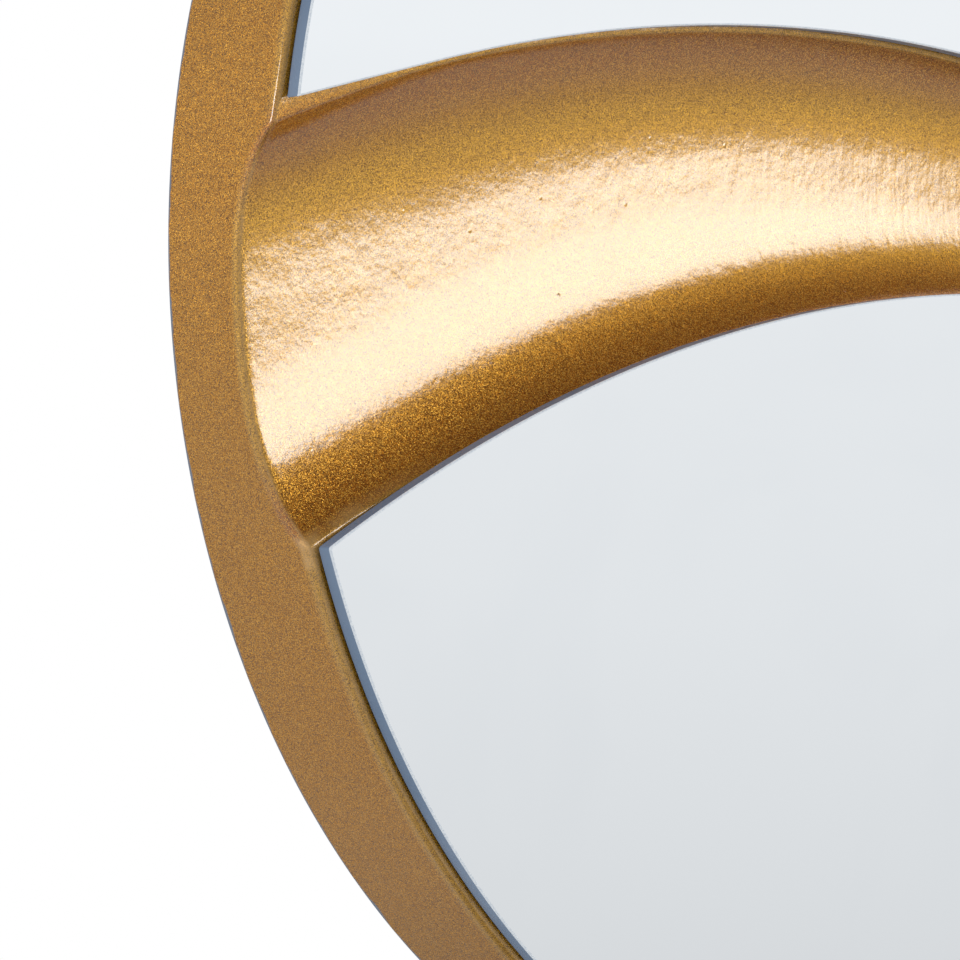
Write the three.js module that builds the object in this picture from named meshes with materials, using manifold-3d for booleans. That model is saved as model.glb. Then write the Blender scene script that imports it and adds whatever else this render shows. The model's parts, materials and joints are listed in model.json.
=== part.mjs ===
// Round wall mirror. A moulded drum carries two flat plates of mirror glass, and between them a smooth
// scoop sweeps across the front from rim to rim, wide on the left and narrow on the right.
// Millimetres, +Z up. The front faces -Y, the origin is the drum's axis on the wall, and the wall is Y = 0.
import * as THREE from 'three';
import { mergeVertices } from 'three/addons/utils/BufferGeometryUtils.js';
import Module from 'manifold-3d';

// ---- Driving dimensions: drum -------------------------------------------------------------------------
const drumRadius = 305;
const drumDepth = 50;
const drumWall = 6;
const drumFace = 6;
const frontRound = 1.5;
const backChamfer = 1;
const drumSides = 96;

// ---- Driving dimensions: scoop. Its two long edges are the glass edges, each an arc seen from the front --
const upperEdgeX = -64.7;
const upperEdgeZ = -655.5;
const upperEdgeRadius = 732.9;
const lowerEdgeX = 37.2;
const lowerEdgeZ = -662.6;
const lowerEdgeRadius = 654.1;
const scoopLip = 1.5;
const scoopDepth = 15.6;
const scoopDepthFade = 0.6;
const scoopFullness = 3.4;
const scoopLipRound = 1.2;
const scoopWall = 5;
const scoopStations = 40;

// ---- Driving dimensions: glass and its foam tape ------------------------------------------------------
const glassThickness = 5.3;
const glassInset = 2.6;
const glassArris = 0.4;
const cornerRun = 2.5;
const cornerEase = 2;
const glassRingSteps = 60;
const glassEdgeSteps = 32;
const tapeThickness = 0.9;
const tapeLength = 60;
const tapeWidth = 22;
const tapeRound = 2;
const tapeRingInset = 40;
const tapeEdgeInset = 24;
const ringTapes = 5;
const edgeTapes = 3;

// ---- Driving dimensions: back of the drum and its board -------------------------------------------------
const rimWidth = 12;
const hangerRecess = 8;
const boardThickness = 3;
const ledgeWidth = 12;
const ledgeThickness = 4;
const ribCount = 8;
const ribThickness = 4;
const ribHeight = 18;
const hubRadius = 34;
const hubWall = 4;

// ---- Driving dimensions: fasteners ----------------------------------------------------------------------
const boardScrewCount = 12;
const boardScrewInset = 7;
const bossRadius = 6;
const bossDepth = 20;
const shankRadius = 1.9;
const boardScrewLength = 14;
const hangerScrewLength = 18;
const screwHeadRadius = 3.8;
const screwHeadHeight = 2;
const screwSides = 10;

// ---- Driving dimensions: hangers and wall pads ----------------------------------------------------------
const hangerX = 165;
const hangerZ = 130;
const strapWidth = 13;
const strapLength = 34;
const strapSheet = 1.2;
const hangerScrewFirst = 10;
const hangerScrewPitch = 16;
const hangerBlockWidth = 24;
const hangerBlockMargin = 8;
const ringWireRadius = 1.5;
const ringHalfWidth = 9.5;
const ringSide = 7;
const ringButtGap = 0.4;
const ringSteps = 36;
const padRadius = 4.8;
const padThickness = 2;
const padAngle = 45;

// ---- Clearances -----------------------------------------------------------------------------------------
const flatGap = 0.1;
const looseGap = 0.3;
const cutOver = 1;

// ---- Planes and radii that follow from them. Y grows from the front to the wall --------------------------
const drumBack = -padThickness;
const drumFront = drumBack - drumDepth;
const faceInside = drumFront + drumFace;
const wallInside = drumRadius - drumWall;
const rebateRadius = drumRadius - rimWidth;
const boardBack = drumBack - hangerRecess;
const ledgeFace = boardBack - boardThickness - flatGap;
const ledgeInside = rebateRadius - ledgeWidth;
const glassRadius = drumRadius - glassInset;
const glassBack = drumFront - tapeThickness - 2 * flatGap;
const boardRadius = rebateRadius - looseGap;
const boardScrewRing = boardRadius - boardScrewInset;
const holeRadius = shankRadius + looseGap;
const barrelInside = ringWireRadius + looseGap;
const barrelOutside = barrelInside + strapSheet;
const strapFace = boardBack + flatGap + 2 * strapSheet;
const ringAxisY = boardBack + flatGap + barrelOutside;
const ringReach = ringSide + ringHalfWidth;
const ringLean = Math.asin((ringAxisY - boardBack - ringWireRadius - looseGap) / ringReach);

const upperEdge = { centre: new THREE.Vector2(upperEdgeX, upperEdgeZ), radius: upperEdgeRadius };
const lowerEdge = { centre: new THREE.Vector2(lowerEdgeX, lowerEdgeZ), radius: lowerEdgeRadius };
const scoopPole = new THREE.Vector2().addVectors(upperEdge.centre, lowerEdge.centre).multiplyScalar(0.5);

// ---- Materials ------------------------------------------------------------------------------------------
const goldPaint = new THREE.MeshStandardMaterial({ color: 0xa8813f, roughness: 0.45, metalness: 0.75 });
const mirrorGlass = new THREE.MeshStandardMaterial({ color: 0xdde3e6, roughness: 0.05, metalness: 0.95 });
const foamTape = new THREE.MeshStandardMaterial({ color: 0x2b2b2c, roughness: 0.95, metalness: 0 });
const hardboard = new THREE.MeshStandardMaterial({ color: 0x4a3424, roughness: 0.85, metalness: 0 });
const zincSteel = new THREE.MeshStandardMaterial({ color: 0xb9bcc0, roughness: 0.35, metalness: 0.9 });
const greyFelt = new THREE.MeshStandardMaterial({ color: 0x55565a, roughness: 1, metalness: 0 });

// ---- Solid helpers --------------------------------------------------------------------------------------
const wasm = await Module();
wasm.setup();

function toSolid(geometry) {
  const bare = geometry.clone();
  bare.deleteAttribute('normal');
  bare.deleteAttribute('uv');
  const merged = mergeVertices(bare);
  const mesh = new wasm.Mesh({
    numProp: 3,
    vertProperties: new Float32Array(merged.attributes.position.array),
    triVerts: new Uint32Array(merged.index.array),
  });
  return new wasm.Manifold(mesh);
}

function toGeometry(solid) {
  const mesh = solid.getMesh();
  const geometry = new THREE.BufferGeometry();
  geometry.setAttribute('position', new THREE.BufferAttribute(new Float32Array(mesh.vertProperties), 3));
  geometry.setIndex(new THREE.BufferAttribute(new Uint32Array(mesh.triVerts), 1));
  geometry.computeVertexNormals();
  return geometry;
}

// Revolves (radius, y) points about the Y axis. The points run from the wall end to the front end.
function revolve(points, sides) {
  return new THREE.LatheGeometry(points.map(([radius, y]) => new THREE.Vector2(radius, y)).reverse(), sides);
}

// Extrudes a shape drawn in X and Z between two Y planes, from the wall side towards the front.
function slab(shape, yWall, yFront, curveSegments = 12) {
  const depth = yWall - yFront;
  const geometry = new THREE.ExtrudeGeometry(shape, { depth, bevelEnabled: false, curveSegments });
  geometry.rotateX(Math.PI / 2);
  geometry.translate(0, yWall, 0);
  return geometry;
}

// A round bar along Y at (x, z), between two Y planes.
function bar(radius, x, z, yWall, yFront, sides = 16) {
  const geometry = new THREE.CylinderGeometry(radius, radius, yWall - yFront, sides);
  geometry.translate(x, (yWall + yFront) / 2, z);
  return geometry;
}

// Joins rings of equally many points into one closed solid. The caps are the first and last ring.
function loft(rings) {
  const ringSize = rings[0].length;
  const positions = rings.flat().flatMap((point) => point.toArray());
  const index = [];
  for (let ring = 0; ring + 1 < rings.length; ring += 1) {
    for (let i = 0; i < ringSize; i += 1) {
      const next = (i + 1) % ringSize;
      const a = ring * ringSize;
      const b = a + ringSize;
      index.push(a + i, b + i, b + next);
      index.push(a + i, b + next, a + next);
    }
  }
  const last = (rings.length - 1) * ringSize;
  const outline = rings[0].map((point) => new THREE.Vector2(Math.hypot(point.x - scoopPole.x,
    point.z - scoopPole.y), point.y));
  for (const [a, b, c] of THREE.ShapeUtils.triangulateShape(outline, [])) {
    index.push(a, b, c);
    index.push(last + c, last + b, last + a);
  }
  const geometry = new THREE.BufferGeometry();
  geometry.setAttribute('position', new THREE.Float32BufferAttribute(positions, 3));
  geometry.setIndex(index);
  geometry.computeVertexNormals();
  return geometry;
}

// Points along an arc about a centre in the front view, both ends included.
function arcPoints(centre, radius, from, to, steps) {
  return Array.from({ length: steps + 1 }, (_, i) => {
    const angle = from + (to - from) * i / steps;
    return new THREE.Vector2(centre.x + radius * Math.cos(angle), centre.y + radius * Math.sin(angle));
  });
}

function placed(name, geometry, material, x = 0, y = 0, z = 0) {
  const mesh = new THREE.Mesh(geometry, material);
  mesh.name = name;
  mesh.position.set(x, y, z);
  return mesh;
}

// ---- Front view geometry --------------------------------------------------------------------------------
// Where a circle about the drum's axis meets an edge arc: the left and the right crossing.
function crossings(radius, edge) {
  const distance = edge.centre.length();
  const along = (radius ** 2 - edge.radius ** 2 + distance ** 2) / (2 * distance);
  const half = Math.sqrt(radius ** 2 - along ** 2);
  const axis = edge.centre.clone().divideScalar(distance);
  const side = new THREE.Vector2(-axis.y, axis.x).multiplyScalar(half);
  const middle = axis.clone().multiplyScalar(along);
  const points = [middle.clone().sub(side), middle.clone().add(side)];
  return points.sort((p, q) => p.x - q.x);
}

// How far from the pole a ray at an angle from +Z meets an edge arc.
function reach(angle, edge, offset) {
  const toCentre = edge.centre.clone().sub(scoopPole);
  const along = toCentre.x * Math.sin(angle) + toCentre.y * Math.cos(angle);
  const radius = edge.radius + offset;
  return along + Math.sqrt(radius ** 2 - toCentre.lengthSq() + along ** 2);
}

// ---- Scoop ----------------------------------------------------------------------------------------------
// A section is a full, flat bottomed curve that falls away from both lips, and each lip is rounded over.
function scoopFall(t, depth) {
  const plain = depth * (1 - Math.abs(t) ** scoopFullness);
  if (plain > scoopLipRound) return plain;
  return Math.max(0, plain + scoopLipRound) ** 2 / (4 * scoopLipRound);
}

function scoopSteps(depth) {
  const outer = (1 + scoopLipRound / depth) ** (1 / scoopFullness);
  const inner = (1 - scoopLipRound / depth) ** (1 / scoopFullness);
  const lipSteps = 3;
  const bowlSteps = 12;
  const lip = Array.from({ length: lipSteps }, (_, i) => outer + (inner - outer) * (i / lipSteps));
  const bowl = Array.from({ length: bowlSteps + 1 }, (_, i) => inner * Math.cos(Math.PI * i / bowlSteps));
  return [...lip, ...bowl, ...lip.map((t) => -t).reverse()];
}

// One closed section of the scoop at an angle about the pole, sunk by an extra depth, open upwards to a roof.
function scoopSection(angle, widest, sink, roof) {
  const top = reach(angle, upperEdge, -scoopLip);
  const bottom = reach(angle, lowerEdge, scoopLip);
  const depth = scoopDepth * ((top - bottom) / widest) ** scoopDepthFade;
  const place = (rho, y) => new THREE.Vector3(
    scoopPole.x + rho * Math.sin(angle), y, scoopPole.y + rho * Math.cos(angle));
  const steps = scoopSteps(depth);
  const rhoAt = (t) => (top + bottom) / 2 + t * (top - bottom) / 2;
  const floor = steps.map((t) => place(rhoAt(t), drumFront + scoopFall(t, depth) + sink));
  return [place(rhoAt(steps[0]), roof), ...floor, place(rhoAt(steps.at(-1)), roof)];
}

function scoopSolid(sink, roof) {
  const overrun = drumRadius + 2 * drumWall;
  const ends = [upperEdge, lowerEdge].map((edge) => crossings(overrun, edge).map(
    (point) => Math.atan2(point.x - scoopPole.x, point.y - scoopPole.y)));
  const first = Math.min(ends[0][0], ends[1][0]);
  const last = Math.max(ends[0][1], ends[1][1]);
  const rimAngle = Math.atan2(-drumRadius - scoopPole.x, -scoopPole.y);
  const widest = reach(rimAngle, upperEdge, -scoopLip) - reach(rimAngle, lowerEdge, scoopLip);
  const rings = [];
  for (let station = 0; station <= scoopStations; station += 1) {
    const angle = first + (last - first) * station / scoopStations;
    rings.push(scoopSection(angle, widest, sink, roof));
  }
  return toSolid(loft(rings));
}

// ---- Drum -----------------------------------------------------------------------------------------------
function drumBlank() {
  const roundSteps = 3;
  const round = Array.from({ length: roundSteps + 1 }, (_, i) => {
    const turn = Math.PI / 2 * i / roundSteps;
    return [drumRadius - frontRound * (1 - Math.cos(turn)), drumFront + frontRound * (1 - Math.sin(turn))];
  });
  const profile = [[0, drumBack], [drumRadius - backChamfer, drumBack], [drumRadius, drumBack - backChamfer],
    ...round, [0, drumFront]];
  return toSolid(revolve(profile, drumSides));
}

function drumHollow() {
  const haunch = wallInside - ledgeInside;
  const profile = [[0, drumBack + cutOver], [rebateRadius, drumBack + cutOver], [rebateRadius, ledgeFace],
    [ledgeInside, ledgeFace], [ledgeInside, ledgeFace - ledgeThickness],
    [wallInside, ledgeFace - ledgeThickness - haunch], [wallInside, faceInside], [0, faceInside]];
  return toSolid(revolve(profile, drumSides));
}

function ribSolid(angle) {
  const span = drumRadius - hubRadius;
  const geometry = new THREE.BoxGeometry(span, ribHeight + drumFace / 2, ribThickness);
  geometry.translate(hubRadius + span / 2 - drumWall / 2, faceInside + (ribHeight - drumFace / 2) / 2, 0);
  geometry.rotateY(-angle);
  return toSolid(geometry);
}

function hubSolid() {
  const sides = drumSides / 3;
  const top = faceInside + ribHeight;
  const outer = toSolid(bar(hubRadius, 0, 0, top, faceInside - drumFace / 2, sides));
  return outer.subtract(toSolid(bar(hubRadius - hubWall, 0, 0, top + cutOver, faceInside, sides)));
}

function roundedPlan(width, height, corner) {
  const shape = new THREE.Shape();
  const x = width / 2;
  const z = height / 2;
  shape.moveTo(x - corner, -z);
  shape.absarc(x - corner, -z + corner, corner, -Math.PI / 2, 0);
  shape.absarc(x - corner, z - corner, corner, 0, Math.PI / 2);
  shape.absarc(-x + corner, z - corner, corner, Math.PI / 2, Math.PI);
  shape.absarc(-x + corner, -z + corner, corner, Math.PI, 1.5 * Math.PI);
  return shape;
}

const boardScrewSpots = Array.from({ length: boardScrewCount }, (_, i) => {
  const angle = 2 * Math.PI * (i + 0.5) / boardScrewCount;
  return { x: boardScrewRing * Math.cos(angle), z: boardScrewRing * Math.sin(angle) };
});
const hangerScrewDrops = [hangerScrewFirst, hangerScrewFirst + hangerScrewPitch];
const hangerScrewSpots = [-hangerX, hangerX].flatMap(
  (x) => hangerScrewDrops.map((drop) => ({ x, z: hangerZ - drop })));

function hangerBlockSolid(x) {
  const height = hangerScrewPitch + 2 * (hangerBlockMargin + shankRadius);
  const z = hangerZ - hangerScrewFirst - hangerScrewPitch / 2;
  const plan = roundedPlan(hangerBlockWidth, height, tapeRound);
  const geometry = slab(plan, ledgeFace, faceInside - drumFace / 2);
  geometry.translate(x, 0, z);
  return toSolid(geometry);
}

function frameShell() {
  const bosses = boardScrewSpots.map(({ x, z }) => toSolid(
    bar(bossRadius, x, z, ledgeFace, ledgeFace - bossDepth)));
  const blocks = [-hangerX, hangerX].map(hangerBlockSolid);
  const ribs = Array.from({ length: ribCount }, (_, i) => ribSolid(2 * Math.PI * (i + 0.5) / ribCount));
  let hollow = drumHollow();
  const scoopSkin = scoopSolid(scoopWall, drumFront + cutOver);
  for (const kept of [...bosses, ...blocks, ...ribs, hubSolid(), scoopSkin]) {
    hollow = hollow.subtract(kept);
  }
  let shell = drumBlank().subtract(hollow).subtract(scoopSolid(0, drumFront - drumFace));
  const boardPilot = boardScrewLength - boardThickness + cutOver;
  const hangerPilot = hangerScrewLength - boardThickness - 2 * strapSheet + cutOver;
  const pilots = [
    ...boardScrewSpots.map((spot) => ({ ...spot, depth: boardPilot })),
    ...hangerScrewSpots.map((spot) => ({ ...spot, depth: hangerPilot })),
  ];
  for (const { x, z, depth } of pilots) {
    const pilot = bar(holeRadius, x, z, ledgeFace + cutOver, ledgeFace - depth, screwSides);
    shell = shell.subtract(toSolid(pilot));
  }
  return placed('frame_shell', toGeometry(shell), goldPaint);
}

// ---- Glass ----------------------------------------------------------------------------------------------
// Each outer corner of a plate is eased: the ring edge turns in a little before it meets the scoop's edge.
// The outline runs from the left corner along the scoop's edge to the right one, and back round the rim.
function glassOutline(edge, isUpper) {
  const axis = new THREE.Vector2();
  const [left, right] = crossings(glassRadius, edge);
  const angleAbout = (centre, point) => Math.atan2(point.y - centre.y, point.x - centre.x);
  const edgeEase = cornerEase / edge.radius;
  const ringEase = (isUpper ? 1 : -1) * cornerRun / glassRadius;
  const ringFrom = angleAbout(axis, right) + ringEase;
  const ringTo = angleAbout(axis, left) - ringEase;
  const sweepTo = isUpper ? ringTo : ringTo - (ringTo > ringFrom ? 2 * Math.PI : 0);
  const along = arcPoints(edge.centre, edge.radius, angleAbout(edge.centre, left) - edgeEase,
    angleAbout(edge.centre, right) + edgeEase, glassEdgeSteps);
  const round = arcPoints(axis, glassRadius, ringFrom, sweepTo, glassRingSteps);
  const turnIn = (ringEnd, bendAngle, corner) => {
    const bend = arcPoints(axis, glassRadius, bendAngle, bendAngle, 1)[0];
    const curve = new THREE.QuadraticBezierCurve(ringEnd, bend, corner);
    return curve.getPoints(4).slice(1, -1);
  };
  const rightTurn = turnIn(round[0], ringFrom - ringEase / 2, along.at(-1)).reverse();
  const leftTurn = turnIn(round.at(-1), sweepTo + ringEase / 2, along[0]);
  return new THREE.Shape([...along, ...rightTurn, ...round, ...leftTurn]);
}

function glassPlate(name, edge, isUpper) {
  const geometry = new THREE.ExtrudeGeometry(glassOutline(edge, isUpper), {
    depth: glassThickness - 2 * glassArris,
    bevelEnabled: true,
    bevelThickness: glassArris,
    bevelSize: glassArris,
    bevelOffset: -glassArris,
    bevelSegments: 1,
  });
  geometry.rotateX(Math.PI / 2);
  return placed(name, geometry, mirrorGlass, 0, glassBack - glassArris, 0);
}

// Foam tape strips: a row inside the rim and a row along the scoop's edge, under each plate.
function glassTapes(prefix, edge, isUpper) {
  const geometry = slab(roundedPlan(tapeLength, tapeWidth, tapeRound), 0, -tapeThickness, 1);
  const [left, right] = crossings(glassRadius, edge).map((point) => Math.atan2(point.y, point.x));
  const first = isUpper ? right : left - (left > 0 ? 2 * Math.PI : 0);
  const last = isUpper ? left : right;
  const spots = [];
  for (let i = 0; i < ringTapes; i += 1) {
    const angle = first + (last - first) * (i + 1) / (ringTapes + 1);
    const radius = glassRadius - tapeRingInset;
    spots.push({ x: radius * Math.cos(angle), z: radius * Math.sin(angle), turn: angle + Math.PI / 2 });
  }
  const ends = crossings(glassRadius - 2 * tapeRingInset, edge).map(
    (point) => Math.atan2(point.y - edge.centre.y, point.x - edge.centre.x));
  const radius = edge.radius + (isUpper ? tapeEdgeInset : -tapeEdgeInset);
  for (let i = 0; i < edgeTapes; i += 1) {
    const angle = ends[0] + (ends[1] - ends[0]) * (i + 0.5) / edgeTapes;
    spots.push({
      x: edge.centre.x + radius * Math.cos(angle),
      z: edge.centre.y + radius * Math.sin(angle),
      turn: angle + Math.PI / 2,
    });
  }
  return spots.map(({ x, z, turn }, i) => {
    const tape = placed(`${prefix}_tape_${i + 1}`, geometry, foamTape, x, drumFront - flatGap, z);
    tape.rotation.y = -turn;
    return tape;
  });
}

// ---- Back -----------------------------------------------------------------------------------------------
function backingBoard() {
  const disc = new THREE.Shape();
  disc.absarc(0, 0, boardRadius, 0, 2 * Math.PI);
  for (const { x, z } of [...boardScrewSpots, ...hangerScrewSpots]) {
    const rim = arcPoints({ x, y: z }, holeRadius, 0, -2 * Math.PI, screwSides);
    disc.holes.push(new THREE.Path(rim.slice(1)));
  }
  return placed('backing_board', slab(disc, 0, -boardThickness, drumSides / 2), hardboard, 0, boardBack, 0);
}

// A round headed screw with its seat at y = 0, its head towards the wall and its shank towards the front.
function screwGeometry(length) {
  const dome = [0.6, 0.9].map((share) => [screwHeadRadius * share, screwHeadHeight * (1 - share ** 3)]);
  const pointLength = 2 * shankRadius;
  const profile = [[0, screwHeadHeight], ...dome, [screwHeadRadius, 0], [shankRadius, 0],
    [shankRadius, pointLength - length], [0, -length]];
  return revolve(profile, screwSides);
}

function boardScrews() {
  const geometry = screwGeometry(boardScrewLength);
  return boardScrewSpots.map(({ x, z }, i) => placed(
    `board_screw_${String(i + 1).padStart(2, '0')}`, geometry, zincSteel, x, boardBack + flatGap, z));
}

// The strap is one strip folded back on itself round the ring's straight bar, with both layers pressed flat.
// Its side view has +X along the strap, away from the screws, and +Y away from the board.
function foldedStrap() {
  const side = new THREE.Shape();
  const flatTop = 2 * strapSheet - barrelOutside;
  const meeting = Math.PI + Math.asin(-flatTop / barrelOutside);
  side.moveTo(0, -barrelOutside);
  side.absarc(0, 0, barrelOutside, -Math.PI / 2, meeting, false);
  side.lineTo(-strapLength, flatTop);
  side.lineTo(-strapLength, -barrelOutside);
  const eye = new THREE.Path();
  eye.absarc(0, 0, barrelInside, 0, 2 * Math.PI, true);
  side.holes.push(eye);
  const geometry = new THREE.ExtrudeGeometry(side, {
    depth: strapWidth,
    bevelEnabled: false,
    curveSegments: 9,
  });
  geometry.translate(0, 0, -strapWidth / 2);
  geometry.rotateY(-Math.PI / 2);
  return geometry;
}

function hangerStrap(name, x) {
  const half = strapWidth / 2;
  const clear = barrelOutside + cutOver;
  const plan = new THREE.Shape();
  plan.moveTo(half, clear);
  plan.lineTo(-half, clear);
  plan.lineTo(-half, half - strapLength);
  plan.absarc(0, half - strapLength, half, Math.PI, 2 * Math.PI, false);
  let solid = toSolid(foldedStrap()).intersect(toSolid(slab(plan, clear, -clear, 8)));
  for (const drop of hangerScrewDrops) {
    solid = solid.subtract(toSolid(bar(holeRadius, 0, -drop, clear, -clear)));
  }
  return placed(name, toGeometry(solid), zincSteel, x, ringAxisY, hangerZ);
}

// The ring is one bent wire. Its two ends meet, with a hair gap, inside the strap's barrel.
function ringGeometry() {
  const path = new THREE.CurvePath();
  const point = (x, z) => new THREE.Vector3(x, 0, z);
  const bend = ringWireRadius * 2;
  const half = ringHalfWidth;
  const quarter = 4 / 3 * (Math.SQRT2 - 1) * half;
  path.add(new THREE.LineCurve3(point(ringButtGap / 2, 0), point(half - bend, 0)));
  path.add(new THREE.QuadraticBezierCurve3(point(half - bend, 0), point(half, 0), point(half, bend)));
  path.add(new THREE.LineCurve3(point(half, bend), point(half, ringSide)));
  path.add(new THREE.CubicBezierCurve3(point(half, ringSide), point(half, ringSide + quarter),
    point(quarter, ringReach), point(0, ringReach)));
  path.add(new THREE.CubicBezierCurve3(point(0, ringReach), point(-quarter, ringReach),
    point(-half, ringSide + quarter), point(-half, ringSide)));
  path.add(new THREE.LineCurve3(point(-half, ringSide), point(-half, bend)));
  path.add(new THREE.QuadraticBezierCurve3(point(-half, bend), point(-half, 0), point(bend - half, 0)));
  path.add(new THREE.LineCurve3(point(bend - half, 0), point(-ringButtGap / 2, 0)));
  const wire = new THREE.Shape();
  wire.absarc(0, 0, ringWireRadius, 0, 2 * Math.PI);
  return new THREE.ExtrudeGeometry(wire, { steps: ringSteps, extrudePath: path, curveSegments: 4 });
}

function hanger(side, x) {
  const ring = placed(`${side}_d_ring`, ringGeometry(), zincSteel, x, ringAxisY, hangerZ);
  ring.rotation.x = ringLean;
  const screws = hangerScrewDrops.map((drop, i) => placed(
    `${side}_hanger_screw_${i ? 'lower' : 'upper'}`, screwGeometry(hangerScrewLength), zincSteel,
    x, strapFace + flatGap, hangerZ - drop));
  return [hangerStrap(`${side}_hanger_strap`, x), ring, ...screws];
}

function wallPads() {
  const radius = drumRadius - backChamfer - (rimWidth - backChamfer) / 2;
  const turn = padAngle * Math.PI / 180;
  const geometry = bar(padRadius, 0, 0, 0, flatGap - padThickness);
  const corners = [
    ['upper_right', 1, 1],
    ['upper_left', -1, 1],
    ['lower_left', -1, -1],
    ['lower_right', 1, -1],
  ];
  return corners.map(([name, right, up]) => placed(`wall_pad_${name}`, geometry, greyFelt,
    right * radius * Math.cos(turn), 0, up * radius * Math.sin(turn)));
}

// ---- Assembly -------------------------------------------------------------------------------------------
const mirror = new THREE.Group();
mirror.add(frameShell());
mirror.add(glassPlate('upper_mirror_glass', upperEdge, true));
mirror.add(glassPlate('lower_mirror_glass', lowerEdge, false));
mirror.add(...glassTapes('upper_glass', upperEdge, true));
mirror.add(...glassTapes('lower_glass', lowerEdge, false));
mirror.add(backingBoard());
mirror.add(...boardScrews());
mirror.add(...hanger('left', -hangerX));
mirror.add(...hanger('right', hangerX));
mirror.add(...wallPads());

export default mirror;
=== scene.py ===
"""Round wall mirror: a moulded gold drum with a scoop across its front and two flat plates of mirror glass.

Metres, +Z up. The front faces -Y, the wall is the plane Y = 0 and the drum's axis is the Y axis. Planes and
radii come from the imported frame. The few sizes that the frame can't give are the real ones, written below.
"""

import json
import logging
import math
from collections.abc import Mapping, Sequence
from dataclasses import dataclass, field, replace
from enum import Enum

import bmesh
import bpy
import numpy as np
from mathutils import Matrix, Vector

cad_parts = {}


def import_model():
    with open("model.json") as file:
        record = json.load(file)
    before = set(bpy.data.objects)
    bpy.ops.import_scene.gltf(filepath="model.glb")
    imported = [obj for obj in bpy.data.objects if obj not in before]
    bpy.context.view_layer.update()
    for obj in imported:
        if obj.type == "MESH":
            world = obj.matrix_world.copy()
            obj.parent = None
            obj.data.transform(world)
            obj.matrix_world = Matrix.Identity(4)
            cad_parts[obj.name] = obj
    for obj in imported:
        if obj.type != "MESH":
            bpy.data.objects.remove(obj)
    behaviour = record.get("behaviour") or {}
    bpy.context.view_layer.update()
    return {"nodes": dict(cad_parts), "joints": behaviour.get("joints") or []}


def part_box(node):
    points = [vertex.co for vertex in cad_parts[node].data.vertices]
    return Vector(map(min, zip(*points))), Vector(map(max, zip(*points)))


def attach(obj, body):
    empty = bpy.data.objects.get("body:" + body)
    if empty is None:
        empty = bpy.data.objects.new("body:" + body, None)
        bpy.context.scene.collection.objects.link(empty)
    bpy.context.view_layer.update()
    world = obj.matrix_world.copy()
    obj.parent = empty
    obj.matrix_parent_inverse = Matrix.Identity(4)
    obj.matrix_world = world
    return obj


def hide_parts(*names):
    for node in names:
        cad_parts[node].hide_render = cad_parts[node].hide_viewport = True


LOG = logging.getLogger("wall_mirror")
MM = 0.001
GLASS_INSET = 2.6 * MM
Colour = tuple[float, float, float, float]
Socket = bpy.types.NodeSocket
Value = Socket | float | int | str | Colour | bpy.types.Material | bpy.types.Object | None


def rgb(red: int, green: int, blue: int) -> Colour:
    """Turns a colour given on the usual 0 to 255 scale into the linear one that shaders take.

    Args:
        red: Red, 0 to 255.
        green: Green, 0 to 255.
        blue: Blue, 0 to 255.

    Returns:
        The linear colour, with alpha 1.
    """
    shares = [value / 255 for value in (red, green, blue)]
    linear = [share / 12.92 if share <= 0.04045 else ((share + 0.055) / 1.055) ** 2.4 for share in shares]
    return linear[0], linear[1], linear[2], 1.0


class Plate(Enum):
    """The two plates of mirror glass."""

    UPPER = "upper"
    LOWER = "lower"


class Hand(Enum):
    """The two hangers."""

    LEFT = "left"
    RIGHT = "right"


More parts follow.
